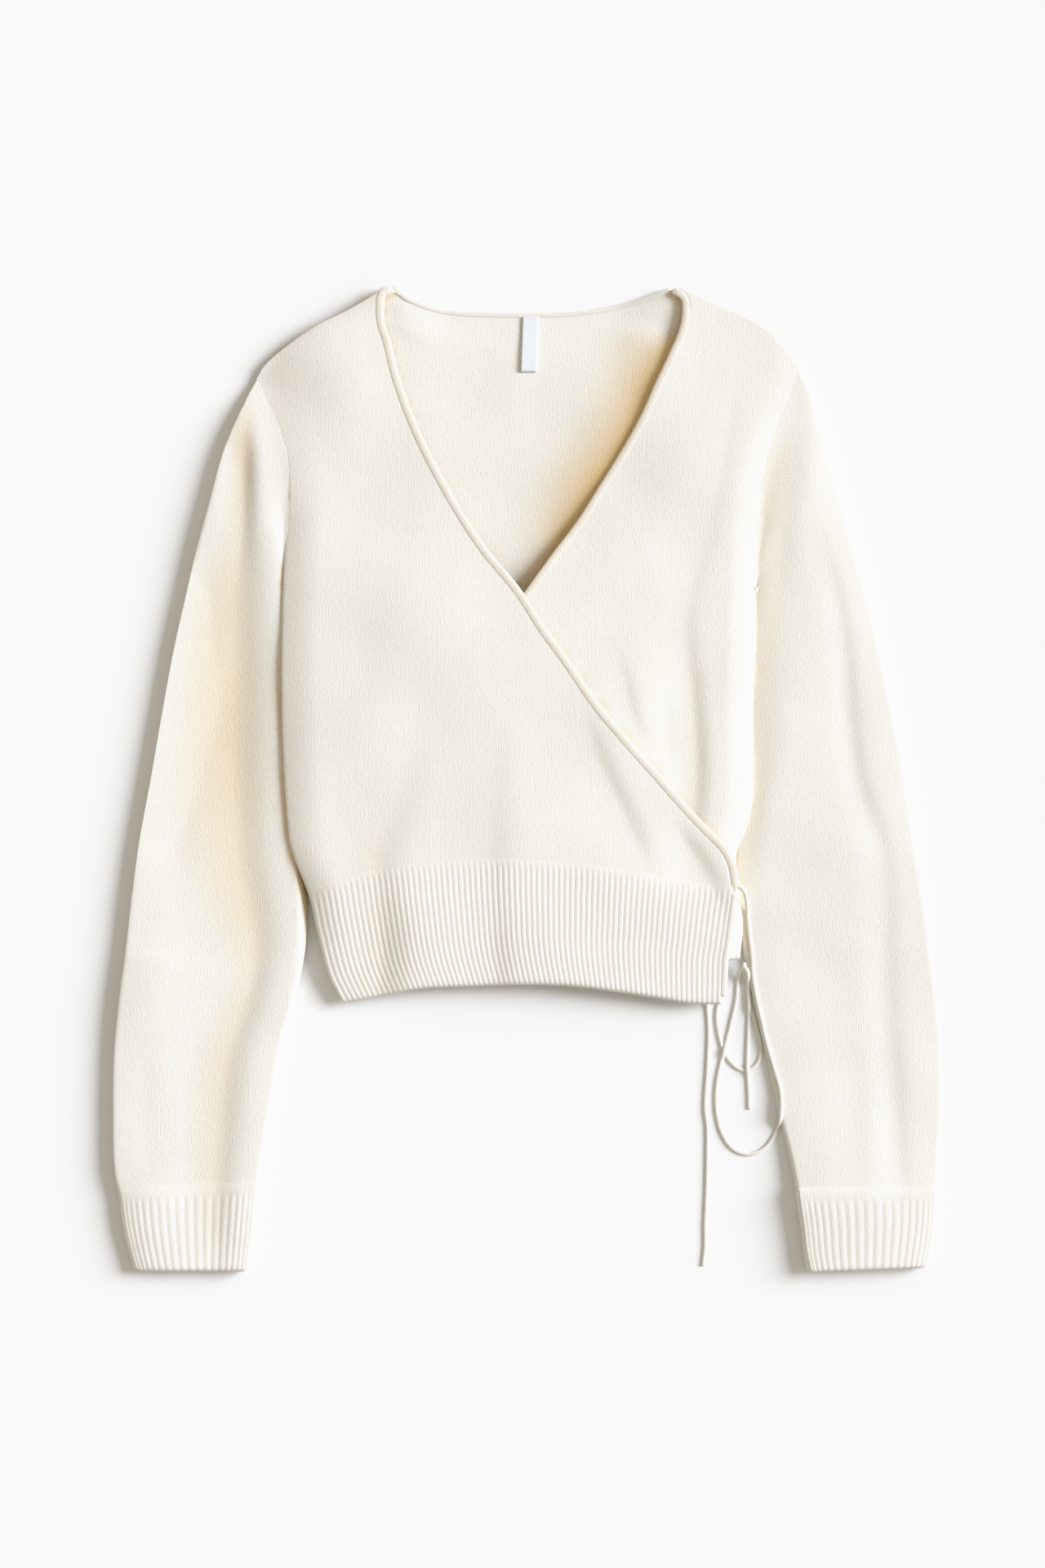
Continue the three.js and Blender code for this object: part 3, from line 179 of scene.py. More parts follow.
def creases(lines, x, y, gentle=1.6):
    """Depth of listed creases. Each is a line of (x, y, depth, width) from its top down, gentle
    times as wide on its right arm's side; a ridge has depth below 0."""
    total = np.zeros_like(x)
    for line in lines:
        p = np.array(line, float)
        run = np.concatenate([[0], np.cumsum(np.hypot(*np.diff(p[:, :2], axis=0).T))])
        at = np.linspace(0, run[-1], 6 * len(line))
        fine = np.stack([through(np.c_[run, p[:, c]], at) for c in range(4)], 1)
        nearest = np.full_like(x, 1e9)
        depth, width = np.zeros_like(x), np.ones_like(x)
        for (x0, y0, d0, w0), (x1, y1, d1, w1) in zip(fine, fine[1:]):
            dx, dy = x1 - x0, y1 - y0
            t = np.clip(((x - x0) * dx + (y - y0) * dy) / (dx * dx + dy * dy), 0, 1)
            off = np.hypot(x - x0 - t * dx, y - y0 - t * dy)
            closer = off < nearest
            nearest = np.where(closer, off, nearest)
            depth = np.where(closer, d0 + (d1 - d0) * t, depth)
            turned = ((x - x0) * dy - (y - y0) * dx) / math.hypot(dx, dy) / np.maximum(off, 1e-6)
            lee = 1 + (gentle - 1) * (0.5 + 0.5 * np.clip(turned, -1, 1))
            width = np.where(closer, (w0 + (w1 - w0) * t) * lee, width)
        total += depth * np.exp(-(nearest / width) ** 2)
    return total


def armhole_arch(y, shoulder):
    t = np.clip((shoulder - y) / (shoulder - arch_foot), 0, 1)
    return np.where(y > arch_foot, np.sqrt(np.maximum(1 - (2 * t - 1) ** 2, 0)), 0)


def cloth_object(name, columns, rows, shape, wall, side, ring=False):
    """A knitted piece: a grid of stitches set to its shape, in millimetres, with its wall inwards.
    shape gives x, y, z and the cloth's own width and length at shares across and along. side is 1
    where the outside faces up and -1 where it faces down; a ring is closed round on itself."""
    bm = bmesh.new()
    bm.loops.layers.uv.new("knit")
    bmesh.ops.create_grid(bm, x_segments=columns, y_segments=rows, size=0.5, calc_uvs=True)
    mesh = bpy.data.meshes.new(name)
    bm.to_mesh(mesh)
    bm.free()
    co = np.empty(len(mesh.vertices) * 3)
    mesh.vertices.foreach_get("co", co)
    x, y, z, width, length = shape(co[0::3] + 0.5, 0.5 - co[1::3])
    mesh.vertices.foreach_set("co", (np.c_[x, y, z] * MM).ravel())
    corner = np.empty(len(mesh.loops), int)
    mesh.loops.foreach_get("vertex_index", corner)
    mesh.uv_layers["knit"].data.foreach_set("uv", (np.c_[width, length][corner] * MM).ravel())
    bm = bmesh.new()
    bm.from_mesh(mesh)
    if ring:
        bmesh.ops.remove_doubles(bm, verts=bm.verts, dist=2e-6)
        bm.normal_update()
        facing = bm.calc_volume(signed=True)
    else:
        bm.normal_update()
        facing = side * sum(f.normal.z * f.calc_area() for f in bm.faces)
    if facing < 0:
        bmesh.ops.reverse_faces(bm, faces=bm.faces)
    for face in bm.faces:
        face.smooth = True
    bm.to_mesh(mesh)
    bm.free()
    piece = bpy.data.objects.new(name, mesh)
    bpy.context.scene.collection.objects.link(piece)
    if wall:
        shell = piece.modifiers.new("wall", "SOLIDIFY")
        shell.thickness = wall * MM
        shell.offset = -1
    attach(piece, "root")
    return piece


def dress(piece, node, material):
    """A finished piece takes its yarn and stands for its solid, which is hidden."""
    piece.data.materials.append(material)
    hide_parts(node)


def between_edges(across, along, top, bottom, first, last):
    """Places inside four edges, by shares across and along."""
    blend = []
    for axis in (0, 1):
        corner = [float(top(np.array([u]))[axis][0]) for u in (0, 1)]
        corner += [float(bottom(np.array([u]))[axis][0]) for u in (0, 1)]
        flat = ((corner[0] * (1 - across) + corner[1] * across) * (1 - along)
                + (corner[2] * (1 - across) + corner[3] * across) * along)
        blend.append(first(along)[axis] * (1 - across) + last(along)[axis] * across
                     + top(across)[axis] * (1 - along) + bottom(across)[axis] * along - flat)
    return blend


def edge_across(rows, x0, x1):
    return lambda u: (x0 + (x1 - x0) * u, through(rows, x0 + (x1 - x0) * u))


def edge_down(rows, y0, y1):
    return lambda v: (through(rows, y0 + (y1 - y0) * v), y0 + (y1 - y0) * v)


def close_at_start(share, tight=0.07):
    """Shares that lie close together at the start, where the cloth turns over its fold."""
    return (np.sqrt(share**2 + tight**2) - tight) / (math.sqrt(1 + tight**2) - tight)


def close_at_ends(share, tight=0.05):
    left = np.clip(share, 0, 0.5) * 2
    right = np.clip(1 - share, 0, 0.5) * 2
    return np.where(share < 0.5, close_at_start(left, tight) / 2, 1 - close_at_start(right, tight) / 2)


def low_tip(x, y):
    """1 at the outer end of the right shoulder, where the cloth lies nearly flat, and 0 further in."""
    tip_reach = 75
    return np.clip(1 - np.hypot(x - right_tip[0], y - right_tip[1]) / tip_reach, 0, 1) ** 2


def back_height(x, y):
    """Underside of the back over the table."""
    shoulder = np.where(x < 0, right_tip[1], left_tip[1])
    arch = armhole_arch(y, shoulder)
    inward = np.where(x < 0, x - through(right_side, y), through(left_side, y) - x)
    from_neck = np.minimum(abs(x - neck_right), abs(x - neck_left))
    in_neck = (x > neck_right) & (x < neck_left)
    top = back_edge * np.where(in_neck, 1 - smooth(0, 45, from_neck), 1)
    fold = np.where(x < 0, through(right_fold_height, y), through(left_fold_height, y))
    at_side = (1 - arch) * np.clip(through(back_fall, inward), 0, 1) * fold
    at_top = np.clip(through(back_fall, through(shoulder_line, x) - y), 0, 1) * top
    resting = np.maximum(at_side + at_top - at_side * at_top / back_edge, 0)
    resting = resting * (1 - 0.75 * low_tip(x, y))
    inside = smooth(0, 30, x - through(right_side, y)) * smooth(0, 30, through(left_side, y) - x)
    inside = inside * smooth(0, 25, through(shoulder_line, x) - y) * smooth(90, 160, y)
    swell = creases(back_swell, x, y)
    return resting + inside * (0.7 + 0.6 * soft_waves(x, y, 55, 3.1) - swell)


def back_shape(across, along):
    x, y = between_edges(
        close_at_ends(across), close_at_start(along, 0.05),
        edge_across(shoulder_line, right_tip[0], left_tip[0]), edge_across(rib_line, -149, 145),
        edge_down(right_side, right_tip[1], -84), edge_down(left_side, left_tip[1], -79))
    return x, y, back_height(x, y), x, y


back = cloth_object("back_knit", 130, 150, back_shape, jersey_wall, -1)

# The brushed knit: fine upright wales of small stitches, half hidden under a short raised nap.
# Height is for the bump, and Nap runs from hollows between tufts to their light tips; the yarn's colour
# follows Nap as painted shade in the hollows, and Blotch is random tone.
knit = bpy.data.node_groups.new("brushed knit", "ShaderNodeTree")
knit.interface.new_socket("Stitch width", in_out="INPUT", socket_type="NodeSocketFloat")
knit.interface.new_socket("Nap size", in_out="INPUT", socket_type="NodeSocketFloat")
knit.interface.new_socket("Height", in_out="OUTPUT", socket_type="NodeSocketFloat")
knit.interface.new_socket("Nap", in_out="OUTPUT", socket_type="NodeSocketFloat")
knit.interface.new_socket("Blotch", in_out="OUTPUT", socket_type="NodeSocketFloat")
group_in = knit.nodes.new("NodeGroupInput")
group_out = knit.nodes.new("NodeGroupOutput")


def calc(tree, operation, *values):
    """A maths node fed by sockets or numbers."""
    node = tree.nodes.new("ShaderNodeMath")
    node.operation = operation
    for slot, value in zip(node.inputs, values):
        if isinstance(value, (int, float)):
            slot.default_value = value
        else:
            tree.links.new(value, slot)
    return node.outputs[0]


def speckle(tree, vector, scale, detail, roughness=0.6):
    node = tree.nodes.new("ShaderNodeTexNoise")
    node.inputs["Scale"].default_value = scale
    node.inputs["Detail"].default_value = detail
    node.inputs["Roughness"].default_value = roughness
    tree.links.new(vector, node.inputs["Vector"])
    return node.outputs["Fac"]


knit_uv = knit.nodes.new("ShaderNodeUVMap")
knit_uv.uv_map = "knit"
solid_place = knit.nodes.new("ShaderNodeTexCoord").outputs["Object"]
split = knit.nodes.new("ShaderNodeSeparateXYZ")
knit.links.new(knit_uv.outputs["UV"], split.inputs["Vector"])
wander = calc(knit, "MULTIPLY", calc(knit, "SUBTRACT", speckle(knit, solid_place, 160, 1), 0.5), 0.0016)
wale = calc(knit, "DIVIDE", calc(knit, "ADD", split.outputs["X"], wander), group_in.outputs["Stitch width"])
course = calc(knit, "DIVIDE", calc(knit, "ADD", split.outputs["Y"], wander), group_in.outputs["Stitch width"])
leg = calc(knit, "ABSOLUTE", calc(knit, "SUBTRACT", calc(knit, "FRACT", wale), 0.5))
ridge = calc(knit, "SINE", calc(knit, "MULTIPLY", leg, math.pi * 2))
slant = calc(knit, "ADD", calc(knit, "MULTIPLY", course, 1.35), calc(knit, "MULTIPLY", leg, 1.1))
loop = calc(knit, "SINE", calc(knit, "MULTIPLY", slant, math.pi * 2))
stitch = calc(knit, "ADD", calc(knit, "MULTIPLY", ridge, 0.55), calc(knit, "MULTIPLY", loop, 0.12))
tufts = knit.nodes.new("ShaderNodeMapping")
tufts.inputs["Scale"].default_value = (1, 0.3, 1)
knit.links.new(solid_place, tufts.inputs["Vector"])
nap_noise = knit.nodes.new("ShaderNodeTexNoise")
nap_noise.inputs["Detail"].default_value = 5
nap_noise.inputs["Roughness"].default_value = 0.72
knit.links.new(tufts.outputs["Vector"], nap_noise.inputs["Vector"])
knit.links.new(calc(knit, "DIVIDE", 1, group_in.outputs["Nap size"]), nap_noise.inputs["Scale"])
nap = nap_noise.outputs["Fac"]
knit.links.new(calc(knit, "ADD", stitch, calc(knit, "MULTIPLY", nap, 2.2)), group_out.inputs["Height"])
knit.links.new(nap, group_out.inputs["Nap"])
knit.links.new(speckle(knit, solid_place, 22, 3), group_out.inputs["Blotch"])


def knit_material(name, deep, light, stitch_width, nap_size, bump, roughness, sheen):
    """A cream knitted yarn: deep is the colour between the tufts, a painted shade in their hollows, and light
    that of their tips.
    """
    material = bpy.data.materials.new(name)
    material.use_nodes = True
    tree = material.node_tree
    yarn = tree.nodes["Principled BSDF"]
    yarn.inputs["Roughness"].default_value = roughness
    yarn.inputs["Specular IOR Level"].default_value = 0.15
    yarn.inputs["Sheen Weight"].default_value = sheen
    yarn.inputs["Sheen Roughness"].default_value = 0.45
    yarn.inputs["Sheen Tint"].default_value = (1, 0.985, 0.96, 1)
    fabric = tree.nodes.new("ShaderNodeGroup")
    fabric.node_tree = knit
    fabric.inputs["Stitch width"].default_value = stitch_width * MM
    fabric.inputs["Nap size"].default_value = nap_size * MM
    shade = tree.nodes.new("ShaderNodeMix")
    shade.data_type = "RGBA"
    shade.inputs["A"].default_value = deep
    shade.inputs["B"].default_value = light
    # Painted shade: the yarn is darker where the nap is low, mixed with random blotches of tone
    mottle = calc(tree, "ADD", calc(tree, "MULTIPLY", fabric.outputs["Nap"], 1.1),
                  calc(tree, "MULTIPLY", fabric.outputs["Blotch"], 0.6))
    tree.links.new(calc(tree, "SUBTRACT", mottle, 0.35), shade.inputs["Factor"])
    # Painted shade: a per-point attribute darkens and warms the yarn where the piece lies in shade
    painted_shade = tree.nodes.new("ShaderNodeAttribute")
    painted_shade.attribute_name = "painted_shade"
    shade_tint = tree.nodes.new("ShaderNodeMix")
    shade_tint.data_type = "RGBA"
    shade_tint.blend_type = "MULTIPLY"
    shade_tint.inputs["B"].default_value = (0.9, 0.68, 0.38, 1)
    tree.links.new(painted_shade.outputs["Fac"], shade_tint.inputs["Factor"])
    tree.links.new(shade.outputs["Result"], shade_tint.inputs["A"])
    tree.links.new(shade_tint.outputs["Result"], yarn.inputs["Base Color"])
    relief = tree.nodes.new("ShaderNodeBump")
    relief.inputs["Strength"].default_value = bump
    relief.inputs["Distance"].default_value = 0.0005
    tree.links.new(fabric.outputs["Height"], relief.inputs["Height"])
    tree.links.new(relief.outputs["Normal"], yarn.inputs["Normal"])
    return material


cream_deep, cream_light = (0.81, 0.765, 0.69, 1), (0.885, 0.855, 0.795, 1)
jersey = knit_material("brushed jersey", cream_deep, cream_light, 1.9, 1.3, 0.3, 0.95, 0.1)
dress(back, "back_panel", jersey)

# ---------------------------------------------------------------- Fronts
# Two jersey fronts cross over in front. The wearer's right front lies on top and its shaped edge
# runs from the right shoulder to the left side of the waist; the left front goes under it.
layer_step = 2.9
front_edge, seam_lift = 8.2, 1.2
right_flank, left_flank = 25, 20
right_spread, left_spread, spread_middle = 0.12, 0.05, 8
crown_rows = [(340, 11), (300, 12), (240, 14), (180, 16.5), (130, 18.5), (0, 19), (-80, 18.3),
              (-120, 16), (-156, 12.5)]
right_free = [(-98, 338), (-102, 332), (-102.5, 313), (-98.5, 300), (-93, 277.5), (-85.5, 255.5),
              (-75.5, 231.5), (-55.5, 193), (-33, 157.5), (-8.5, 127.5), (8, 102), (25, 78.5),
              (46, 48), (67, 23), (87, 0.5), (105, -20), (122, -38), (133, -49.5), (138, -59),
              (140, -69), (140.5, -78)]
left_free = [(104.5, 337), (109.5, 333), (111.5, 326), (109.5, 311), (101, 289.5), (91.5, 269.5),
             (82, 248), (69, 224.5), (53.5, 199.5), (38, 175), (20, 151), (2, 126), (-27, 83),
             (-61, 37), (-98, -8), (-128, -44), (-134, -56), (-134, -76)]
# Creases: x, y, depth, width down each one
right_folds = [
    [(-76, 70, 0, 15), (-86, 2, 1, 15), (-106, -54, 2, 15), (-102, -110, 3.2, 15), (-104, -156, 3.3, 15)],
    [(-22, 50, 0, 12), (-26, 2, 0.7, 12), (-27, -80, 1, 11), (-22, -156, 1.4, 10)],
    [(36, 48, 0, 7), (46, 16, 1.3, 8), (60, -14, 1.6, 8), (76, -50, 1, 8), (84, -70, 0, 8)],
    [(98, -28, 0, 7), (108, -45, 1.5, 7), (122, -66, 1.6, 7), (132, -92, 0.5, 7), (134, -110, 0, 7)],
    [(-180, 300, 0, 22), (-160, 262, 0.6, 22), (-150, 215, 0.4, 20), (-152, 170, 0, 20)],
    [(-60, 215, 0, 24), (-100, 160, 0.9, 26), (-122, 80, 0.8, 26), (-130, 10, 0, 22)]]
left_folds = [
    [(142, 282, 0, 8), (139, 254, 0.4, 8), (122, 170, 0.6, 8), (107, 112, 0.8, 8), (112, 58, 1.8, 7.5),
     (115, 2, 2, 7.5), (109, -54, 1.6, 8), (108, -80, 0, 8)],
    [(58, 92, 0, 5), (66, 66, 0.7, 5), (71, 44, 0.8, 5), (80, 18, 0, 5)],
    [(92, 66, 0, 7), (95, 30, 0.6, 7), (98, 0, 0, 7)],
    [(58, 180, 0, 14), (72, 130, 0.5, 14), (86, 90, 0, 14)]]


def front_height(x, y, side, fold_height, shoulder, drop, folds, lifted):
    spread = np.where(x < spread_middle, right_spread, left_spread)
    crown = through(crown_rows, y) * (1 - spread * ((x - spread_middle) / 150) ** 2)
    corner = 3 * smooth(60, 140, x) * smooth(-60, -150, y)
    hollow = 2.6 * np.exp(-((x - 40) / 75) ** 2 - ((y - 180) / 60) ** 2)
    full = crown - drop - corner - hollow - creases(folds, x, y, 3) + 0.6 * soft_waves(x, y, 60, 1.7)
    full = full - 6 * low_tip(x, y)
    low = through(fold_height, y) + seam_lift - 3.4 * low_tip(x, y)
    side_height = low + (full - low) * armhole_arch(y, shoulder) * lifted
    inward = abs(x - through(side, y))
    flank = np.where(x < 0, right_flank, left_flank)
    round_side = 0.15 * rounded(inward, 2) + 0.85 * (1 - (1 - np.clip(inward / flank, 0, 1)) ** 2)
    round_top = rounded(through(shoulder_line, x) - y, 18)
    weight = np.maximum(2 - round_side - round_top, 1e-6)
    top_height = front_edge - 4 * low_tip(x, y)
    edge = (side_height * (1 - round_side) + top_height * (1 - round_top)) / weight
    return edge + (full - edge) * round_side * round_top


def right_height(x, y):
    return front_height(x, y, right_side, right_fold_height, right_tip[1], 0, right_folds, 0.5)


def left_height(x, y):
    neck_x = through([(py, px) for px, py in left_free], y)
    neckline = smooth(55, 0, x - neck_x) * smooth(70, 140, y) * smooth(300, 235, y)
    folds = left_folds + right_folds
    full = front_height(x, y, left_side, left_fold_height, left_tip[1], layer_step, folds, 0.3)
    return full - 1.2 * neckline


def right_front_shape(across, along):
    x, y = between_edges(
        close_at_start(across), close_at_start(along, 0.05),
        edge_across(shoulder_line, right_tip[0], -98), edge_across(rib_line, -149, 140.5),
        edge_down(right_side, right_tip[1], -84), lambda v: along_edge(right_free, v))
    return x, y, right_height(x, y), x, y


def left_front_shape(across, along):
    x, y = between_edges(
        close_at_start(across), close_at_start(along, 0.05),
        edge_across(shoulder_line, left_tip[0], 104.5), edge_across(rib_line, 145, -134),
        edge_down(left_side, left_tip[1], -79), lambda v: along_edge(left_free, v))
    return x, y, left_height(x, y), x, y


right_front = cloth_object("right_front_knit", 110, 150, right_front_shape, jersey_wall, 1)
dress(right_front, "right_front", jersey)
left_front = cloth_object("left_front_knit", 110, 150, left_front_shape, jersey_wall, 1)
dress(left_front, "left_front", jersey)

# ---------------------------------------------------------------- Hem ribs
# A deep one by one rib is joined to the foot of each panel. It is thicker and tighter than the
# jersey, draws it in a little, and its ridges fan out towards the side folds.
rib_wall = 2.4
rib_pitch = 3.8
hem_width, hem_depth = 285, 92
seam_sink = 0.42
tucked_under = 8
front_hem = [(-127, -154), (-110, -151), (-75, -144.5), (-35, -142.5), (0, -141.5), (30, -142.5),
             (57, -146), (84, -150), (111, -154.5), (133, -155)]
hidden_hem = [(-128, -151), (-100, -142), (-60, -136), (0, -133), (50, -132), (100, -129), (146, -124)]
rib_free = [(140, -70), (140.5, -78), (138, -96), (135.5, -114.5), (134, -124), (133.5, -137), (133, -155)]
hidden_rib_free = [(-132, -67), (-118, -147)]


def rib_ridge(width, pitch):
    """Height of the ribs across a stretch of cloth: round ridges with narrow grooves between."""
    return np.sqrt(np.sin(np.pi * width / pitch) ** 2 + 0.03) - 1


def joined(down, pitch_ridge):
    """A rib starts inside the jersey's edge and comes out just over it, so the join hardly shows."""
    return (0.55 * smooth(1.5, 5, down) - seam_sink + 0.25 * smooth(6, 14, down)
            + 0.3 * smooth(6.5, 10, down) * pitch_ridge)


def rolled_mouth(along):
    """A rib's last rows turn in a little at its open edge."""
    return 1.1 * smooth(0.965, 1, along) ** 2


def hem_shape(top, bottom, first, last, height, side):
    def shape(across, along):
        x, y = between_edges(across, along, top, bottom, first, last)
        width, down = across * hem_width, along * hem_depth
        lift = joined(down, rib_ridge(width, rib_pitch)) - rolled_mouth(along)
        return x, y, np.maximum(height(x, y) + side * lift, 0), width, down
    return shape


rib_top = [(x, y + tucked_under) for x, y in rib_line]
hem_back = cloth_object("hem_back_knit", 450, 28, hem_shape(
    edge_across(rib_top, -149, 145), edge_across(hidden_hem, -128, 146),
    edge_down(right_side, -76, -151), edge_down(left_side, -71, -124), back_height, -1), rib_wall, -1)
hem_right = cloth_object("hem_right_knit", 600, 34, hem_shape(
    edge_across(rib_top, -149, 140.5), edge_across(front_hem, -127, 133),
    edge_down(right_side, -76, -154), lambda v: along_edge(rib_free, v), right_height, 1), rib_wall, 1)
hem_left = cloth_object("hem_left_knit", 450, 26, hem_shape(
    edge_across(rib_top, 145, -131), edge_across(hidden_hem, 146, -118),
    edge_down(left_side, -71, -124), lambda v: along_edge(hidden_rib_free, v), left_height, 1), rib_wall, 1)
rib_knit = knit_material("one by one rib", cream_deep, cream_light, 1.9, 1.1, 0.25, 0.95, 0.1)
for hem, node in ((hem_back, "hem_rib_back"), (hem_right, "hem_rib_right"), (hem_left, "hem_rib_left")):
    dress(hem, node, rib_knit)

# ---------------------------------------------------------------- Sleeves
# Each sleeve is a jersey tube set into the armhole and folded down beside the body. Its inner
# fold is pushed a little way under the body, and its outer fold stands clear.
# Sections: outer fold x, y, inner fold x, y, height, outer edge, inner edge, tuck, follow
right_sleeve_rows = [
    (-186.9, 275, -167.6, 134, 10.5, 3, 10.5, 0, 1), (-197, 254.5, -165.5, 131, 11.5, 7, 6, 0.4, 0.75),
    (-209, 225.5, -163.5, 124, 11.8, 8, 3.5, 0.8, 0.45), (-217, 197.5, -162, 113, 11.5, 8, 2.4, 1, 0.2),
    (-226, 164, -161.5, 98, 11, 8, 2.3, 1, 0), (-235, 125, -161.5, 79, 10.6, 8, 2.3, 1, 0),
    (-243.5, 87, -161.5, 54, 10.6, 8, 2.3, 1, 0), (-251, 46, -161.5, 24, 10.6, 8, 2.3, 1, 0),
    (-259, 0, -160.5, -10, 10.6, 8, 2.3, 1, 0), (-267, -44, -156, -47, 10.6, 8, 2.3, 1, 0),
    (-272, -80, -151.5, -84, 10.4, 8, 2.4, 0.8, 0), (-276, -115, -152.5, -115, 10, 8, 3, 0.3, 0),
    (-281, -151, -159, -148, 10, 8, 3.5, 0, 0), (-284.5, -190, -169, -187, 10, 7.5, 4, 0, 0),
    (-285.2, -232, -176, -230, 10.3, 7.5, 4, 0, 0), (-284, -270, -182.5, -267, 10.3, 7.5, 4, 0, 0),
    (-280, -290, -185, -284.5, 10, 6, 4.5, 0, 0)]
left_sleeve_rows = [
    (186.4, 282, 157.4, 134, 13, 4, 8.6, 0, 1), (195.5, 262.5, 157, 131, 12, 5.5, 6, 0.4, 0.75),
    (205, 230.5, 155, 124, 11.3, 5.5, 4, 0.8, 0.45), (214.5, 195.5, 153.5, 113, 11, 5.5, 2.8, 1, 0.2),
    (224, 162.5, 152.5, 98, 10.6, 5.5, 2.6, 1, 0), (232, 133, 152, 82, 10.4, 5.5, 2.6, 1, 0),
    (241.5, 97, 151, 58, 10.2, 5.5, 2.6, 1, 0), (250, 57, 150.5, 28, 10, 5.5, 2.6, 1, 0),
    (259, 12, 149.5, -6, 10, 5.5, 2.6, 1, 0), (266.5, -38, 141.5, -46, 9.5, 5.2, 2.4, 0.8, 0),
    (272.5, -76, 140.5, -80, 7.6, 4.8, 2.2, 0.5, 0), (277, -110, 147, -112, 5, 3.6, 2, 0.2, 0),
    (281.5, -150, 155, -150, 4, 3.2, 1.9, 0, 0), (285, -194, 165, -194, 4, 3.2, 1.9, 0, 0),
    (285.6, -228, 172.5, -228, 5.4, 3.8, 2.4, 0, 0), (283.5, -265, 181, -264, 8, 4.8, 3.4, 0, 0),
    (282, -290, 185.7, -289.5, 10, 5.5, 5, 0, 0)]
# Creases down the sleeves: x, y, depth, width
right_sleeve_folds = [
    [(-193, 272, 0, 6), (-195, 240, 3.4, 7), (-195, 226, 4.4, 7), (-197, 170, 3, 9), (-202, 125, 4, 18),
     (-203, 58, 4.8, 22), (-203, 2, 4.8, 22), (-200, -54, 4.2, 20), (-190, -110, 3.6, 16),
     (-191, -138, 2.8, 12), (-208, -194, 3, 14), (-214, -250, 3, 14), (-217, -306, 2.1, 12),
     (-217, -345, 0.8, 10)],
    [(-232, 40, 0, 12), (-240, -20, 0.5, 12), (-244, -90, 0, 12)],
    [(-262, -150, 0, 10), (-266, -210, 0.6, 10), (-262, -270, 0.3, 10), (-258, -300, 0, 8)]]
left_sleeve_folds = [
    [(196, 180, 0, 6), (214, 114, 0.7, 6), (226, 2, 0.9, 6), (244, -54, 0.7, 7), (246, -138, 0.8, 8),
     (254, -250, 0.8, 7), (256, -300, 0, 7)],
    [(184, 262, 0, 8), (178, 226, 1, 9), (174, 170, 1, 10), (168, 114, 0.7, 11), (168, 58, 0.5, 11),
     (160, 2, 0.5, 8), (152, -54, 0.5, 6), (150, -80, 0, 6)],
    [(214, -120, 0, 9), (222, -190, 0.3, 9), (224, -250, 0.4, 9), (222, -320, 0, 9)]]


tight_rim, slow_rim = 3, 30
seam_lap, lap_length = 6, 9


def rim(inward, slow):
    """A sleeve's side: tightly rounded at its fold, with a share of slow rise to its middle."""
    rise = 1 - (1 - np.clip(inward / slow_rim, 0, 1)) ** 2
    return (1 - slow) * rounded(inward, tight_rim) + slow * rise


def tube_shape(rows, folds, side, panel=None, pressed=(0, 6.5), slow=0.65, slow_in=0.1, gentle=4,
               reach=14, ribs=0, seed=5):
    """A flattened tube down its rows. pressed is where its inner part rises from under the body, slow
    and slow_in are its outer and inner shares of slow rise, gentle is its creases' lit width, reach
    is how far it takes the panel's height from its seam, and ribs is their number round it."""
    table = np.array(rows, float)
    first = table[0]
    middle = (table[:, 0:2] + table[:, 2:4]) / 2
    run = np.concatenate([[0], np.cumsum(np.hypot(*np.diff(middle, axis=0).T))])

    def shape(round_share, along):
        at = along * run[-1]
        out_x, out_y, in_x, in_y, height, out_edge, in_edge, tuck, follow = (
            through(np.c_[run, table[:, c]], at) for c in range(9))
        tuck, follow = np.clip(tuck, 0, 1), np.clip(follow, 0, 1)
        flat_width = np.hypot(in_x - out_x, in_y - out_y)
        turn = 2 * np.pi * round_share
        share = (1 - np.cos(turn)) / 2
        upper = np.sin(turn) >= 0
        x = out_x + (in_x - out_x) * share
        y = out_y + (in_y - out_y) * share
        chord_x = first[0] + (first[2] - first[0]) * share
        chord_y = first[1] + (first[3] - first[1]) * share
        x = x + follow * (through(side, chord_y) - chord_x)
        inward, outward = (1 - share) * flat_width, share * flat_width
        ramp = 1 - tuck * (1 - smooth(*pressed, inward))
        arch = np.sqrt(np.maximum(1 - (2 * share - 1) ** 2, 0))
        full = arch * follow + rim(outward, slow) * rim(inward, slow_in) * (1 - follow)
        edge = out_edge + (in_edge - out_edge) * share
        flap = 1.1 * in_edge * rounded(inward, tight_rim) * (1 - ramp)
        dent = creases(folds, x, y, gentle)
        body = height - dent + 0.4 * soft_waves(x, y, 48, seed)
        top = edge + np.maximum(body - edge, 0) * full * ramp + flap
        bottom = edge * (1 - rounded(np.minimum(inward, outward), 12 + (tight_rim - 12) * tuck))
        if panel:
            lap = seam_lap * smooth(lap_length, 0, at) * (1 + 0.5 * smooth(0.85, 1, share))
            along_shoulder = smooth(0.25, 0, share)
            x = x - np.sign(out_x) * lap * (1 - 0.48 * along_shoulder)
            y = y + lap * 0.85 * along_shoulder
            seam_x = through(side, y)
            inside = np.where(abs(x) < abs(seam_x), x, seam_x)
            blend = smooth(reach + 16 * smooth(150, 200, chord_y), 0, at)
            over = panel(inside, y) - seam_sink + 0.48 * smooth(0.6, 3.5, at)
            top = top + blend * (over - top)
        z = np.where(upper, top, bottom)
        if ribs:
            lift = joined(at, rib_ridge(round_share, 1 / ribs)) - rolled_mouth(along)
            flatness = np.clip(np.minimum(inward, outward) / 10, 0, 1)
            z = z + np.where(upper, 1, -1) * lift * flatness
            x = x + np.sign(share - 0.5) * np.sign(in_x - out_x) * lift * (1 - flatness)
        return x, y, np.maximum(z, 0), round_share * 2 * (flat_width + 20), at
    return shape


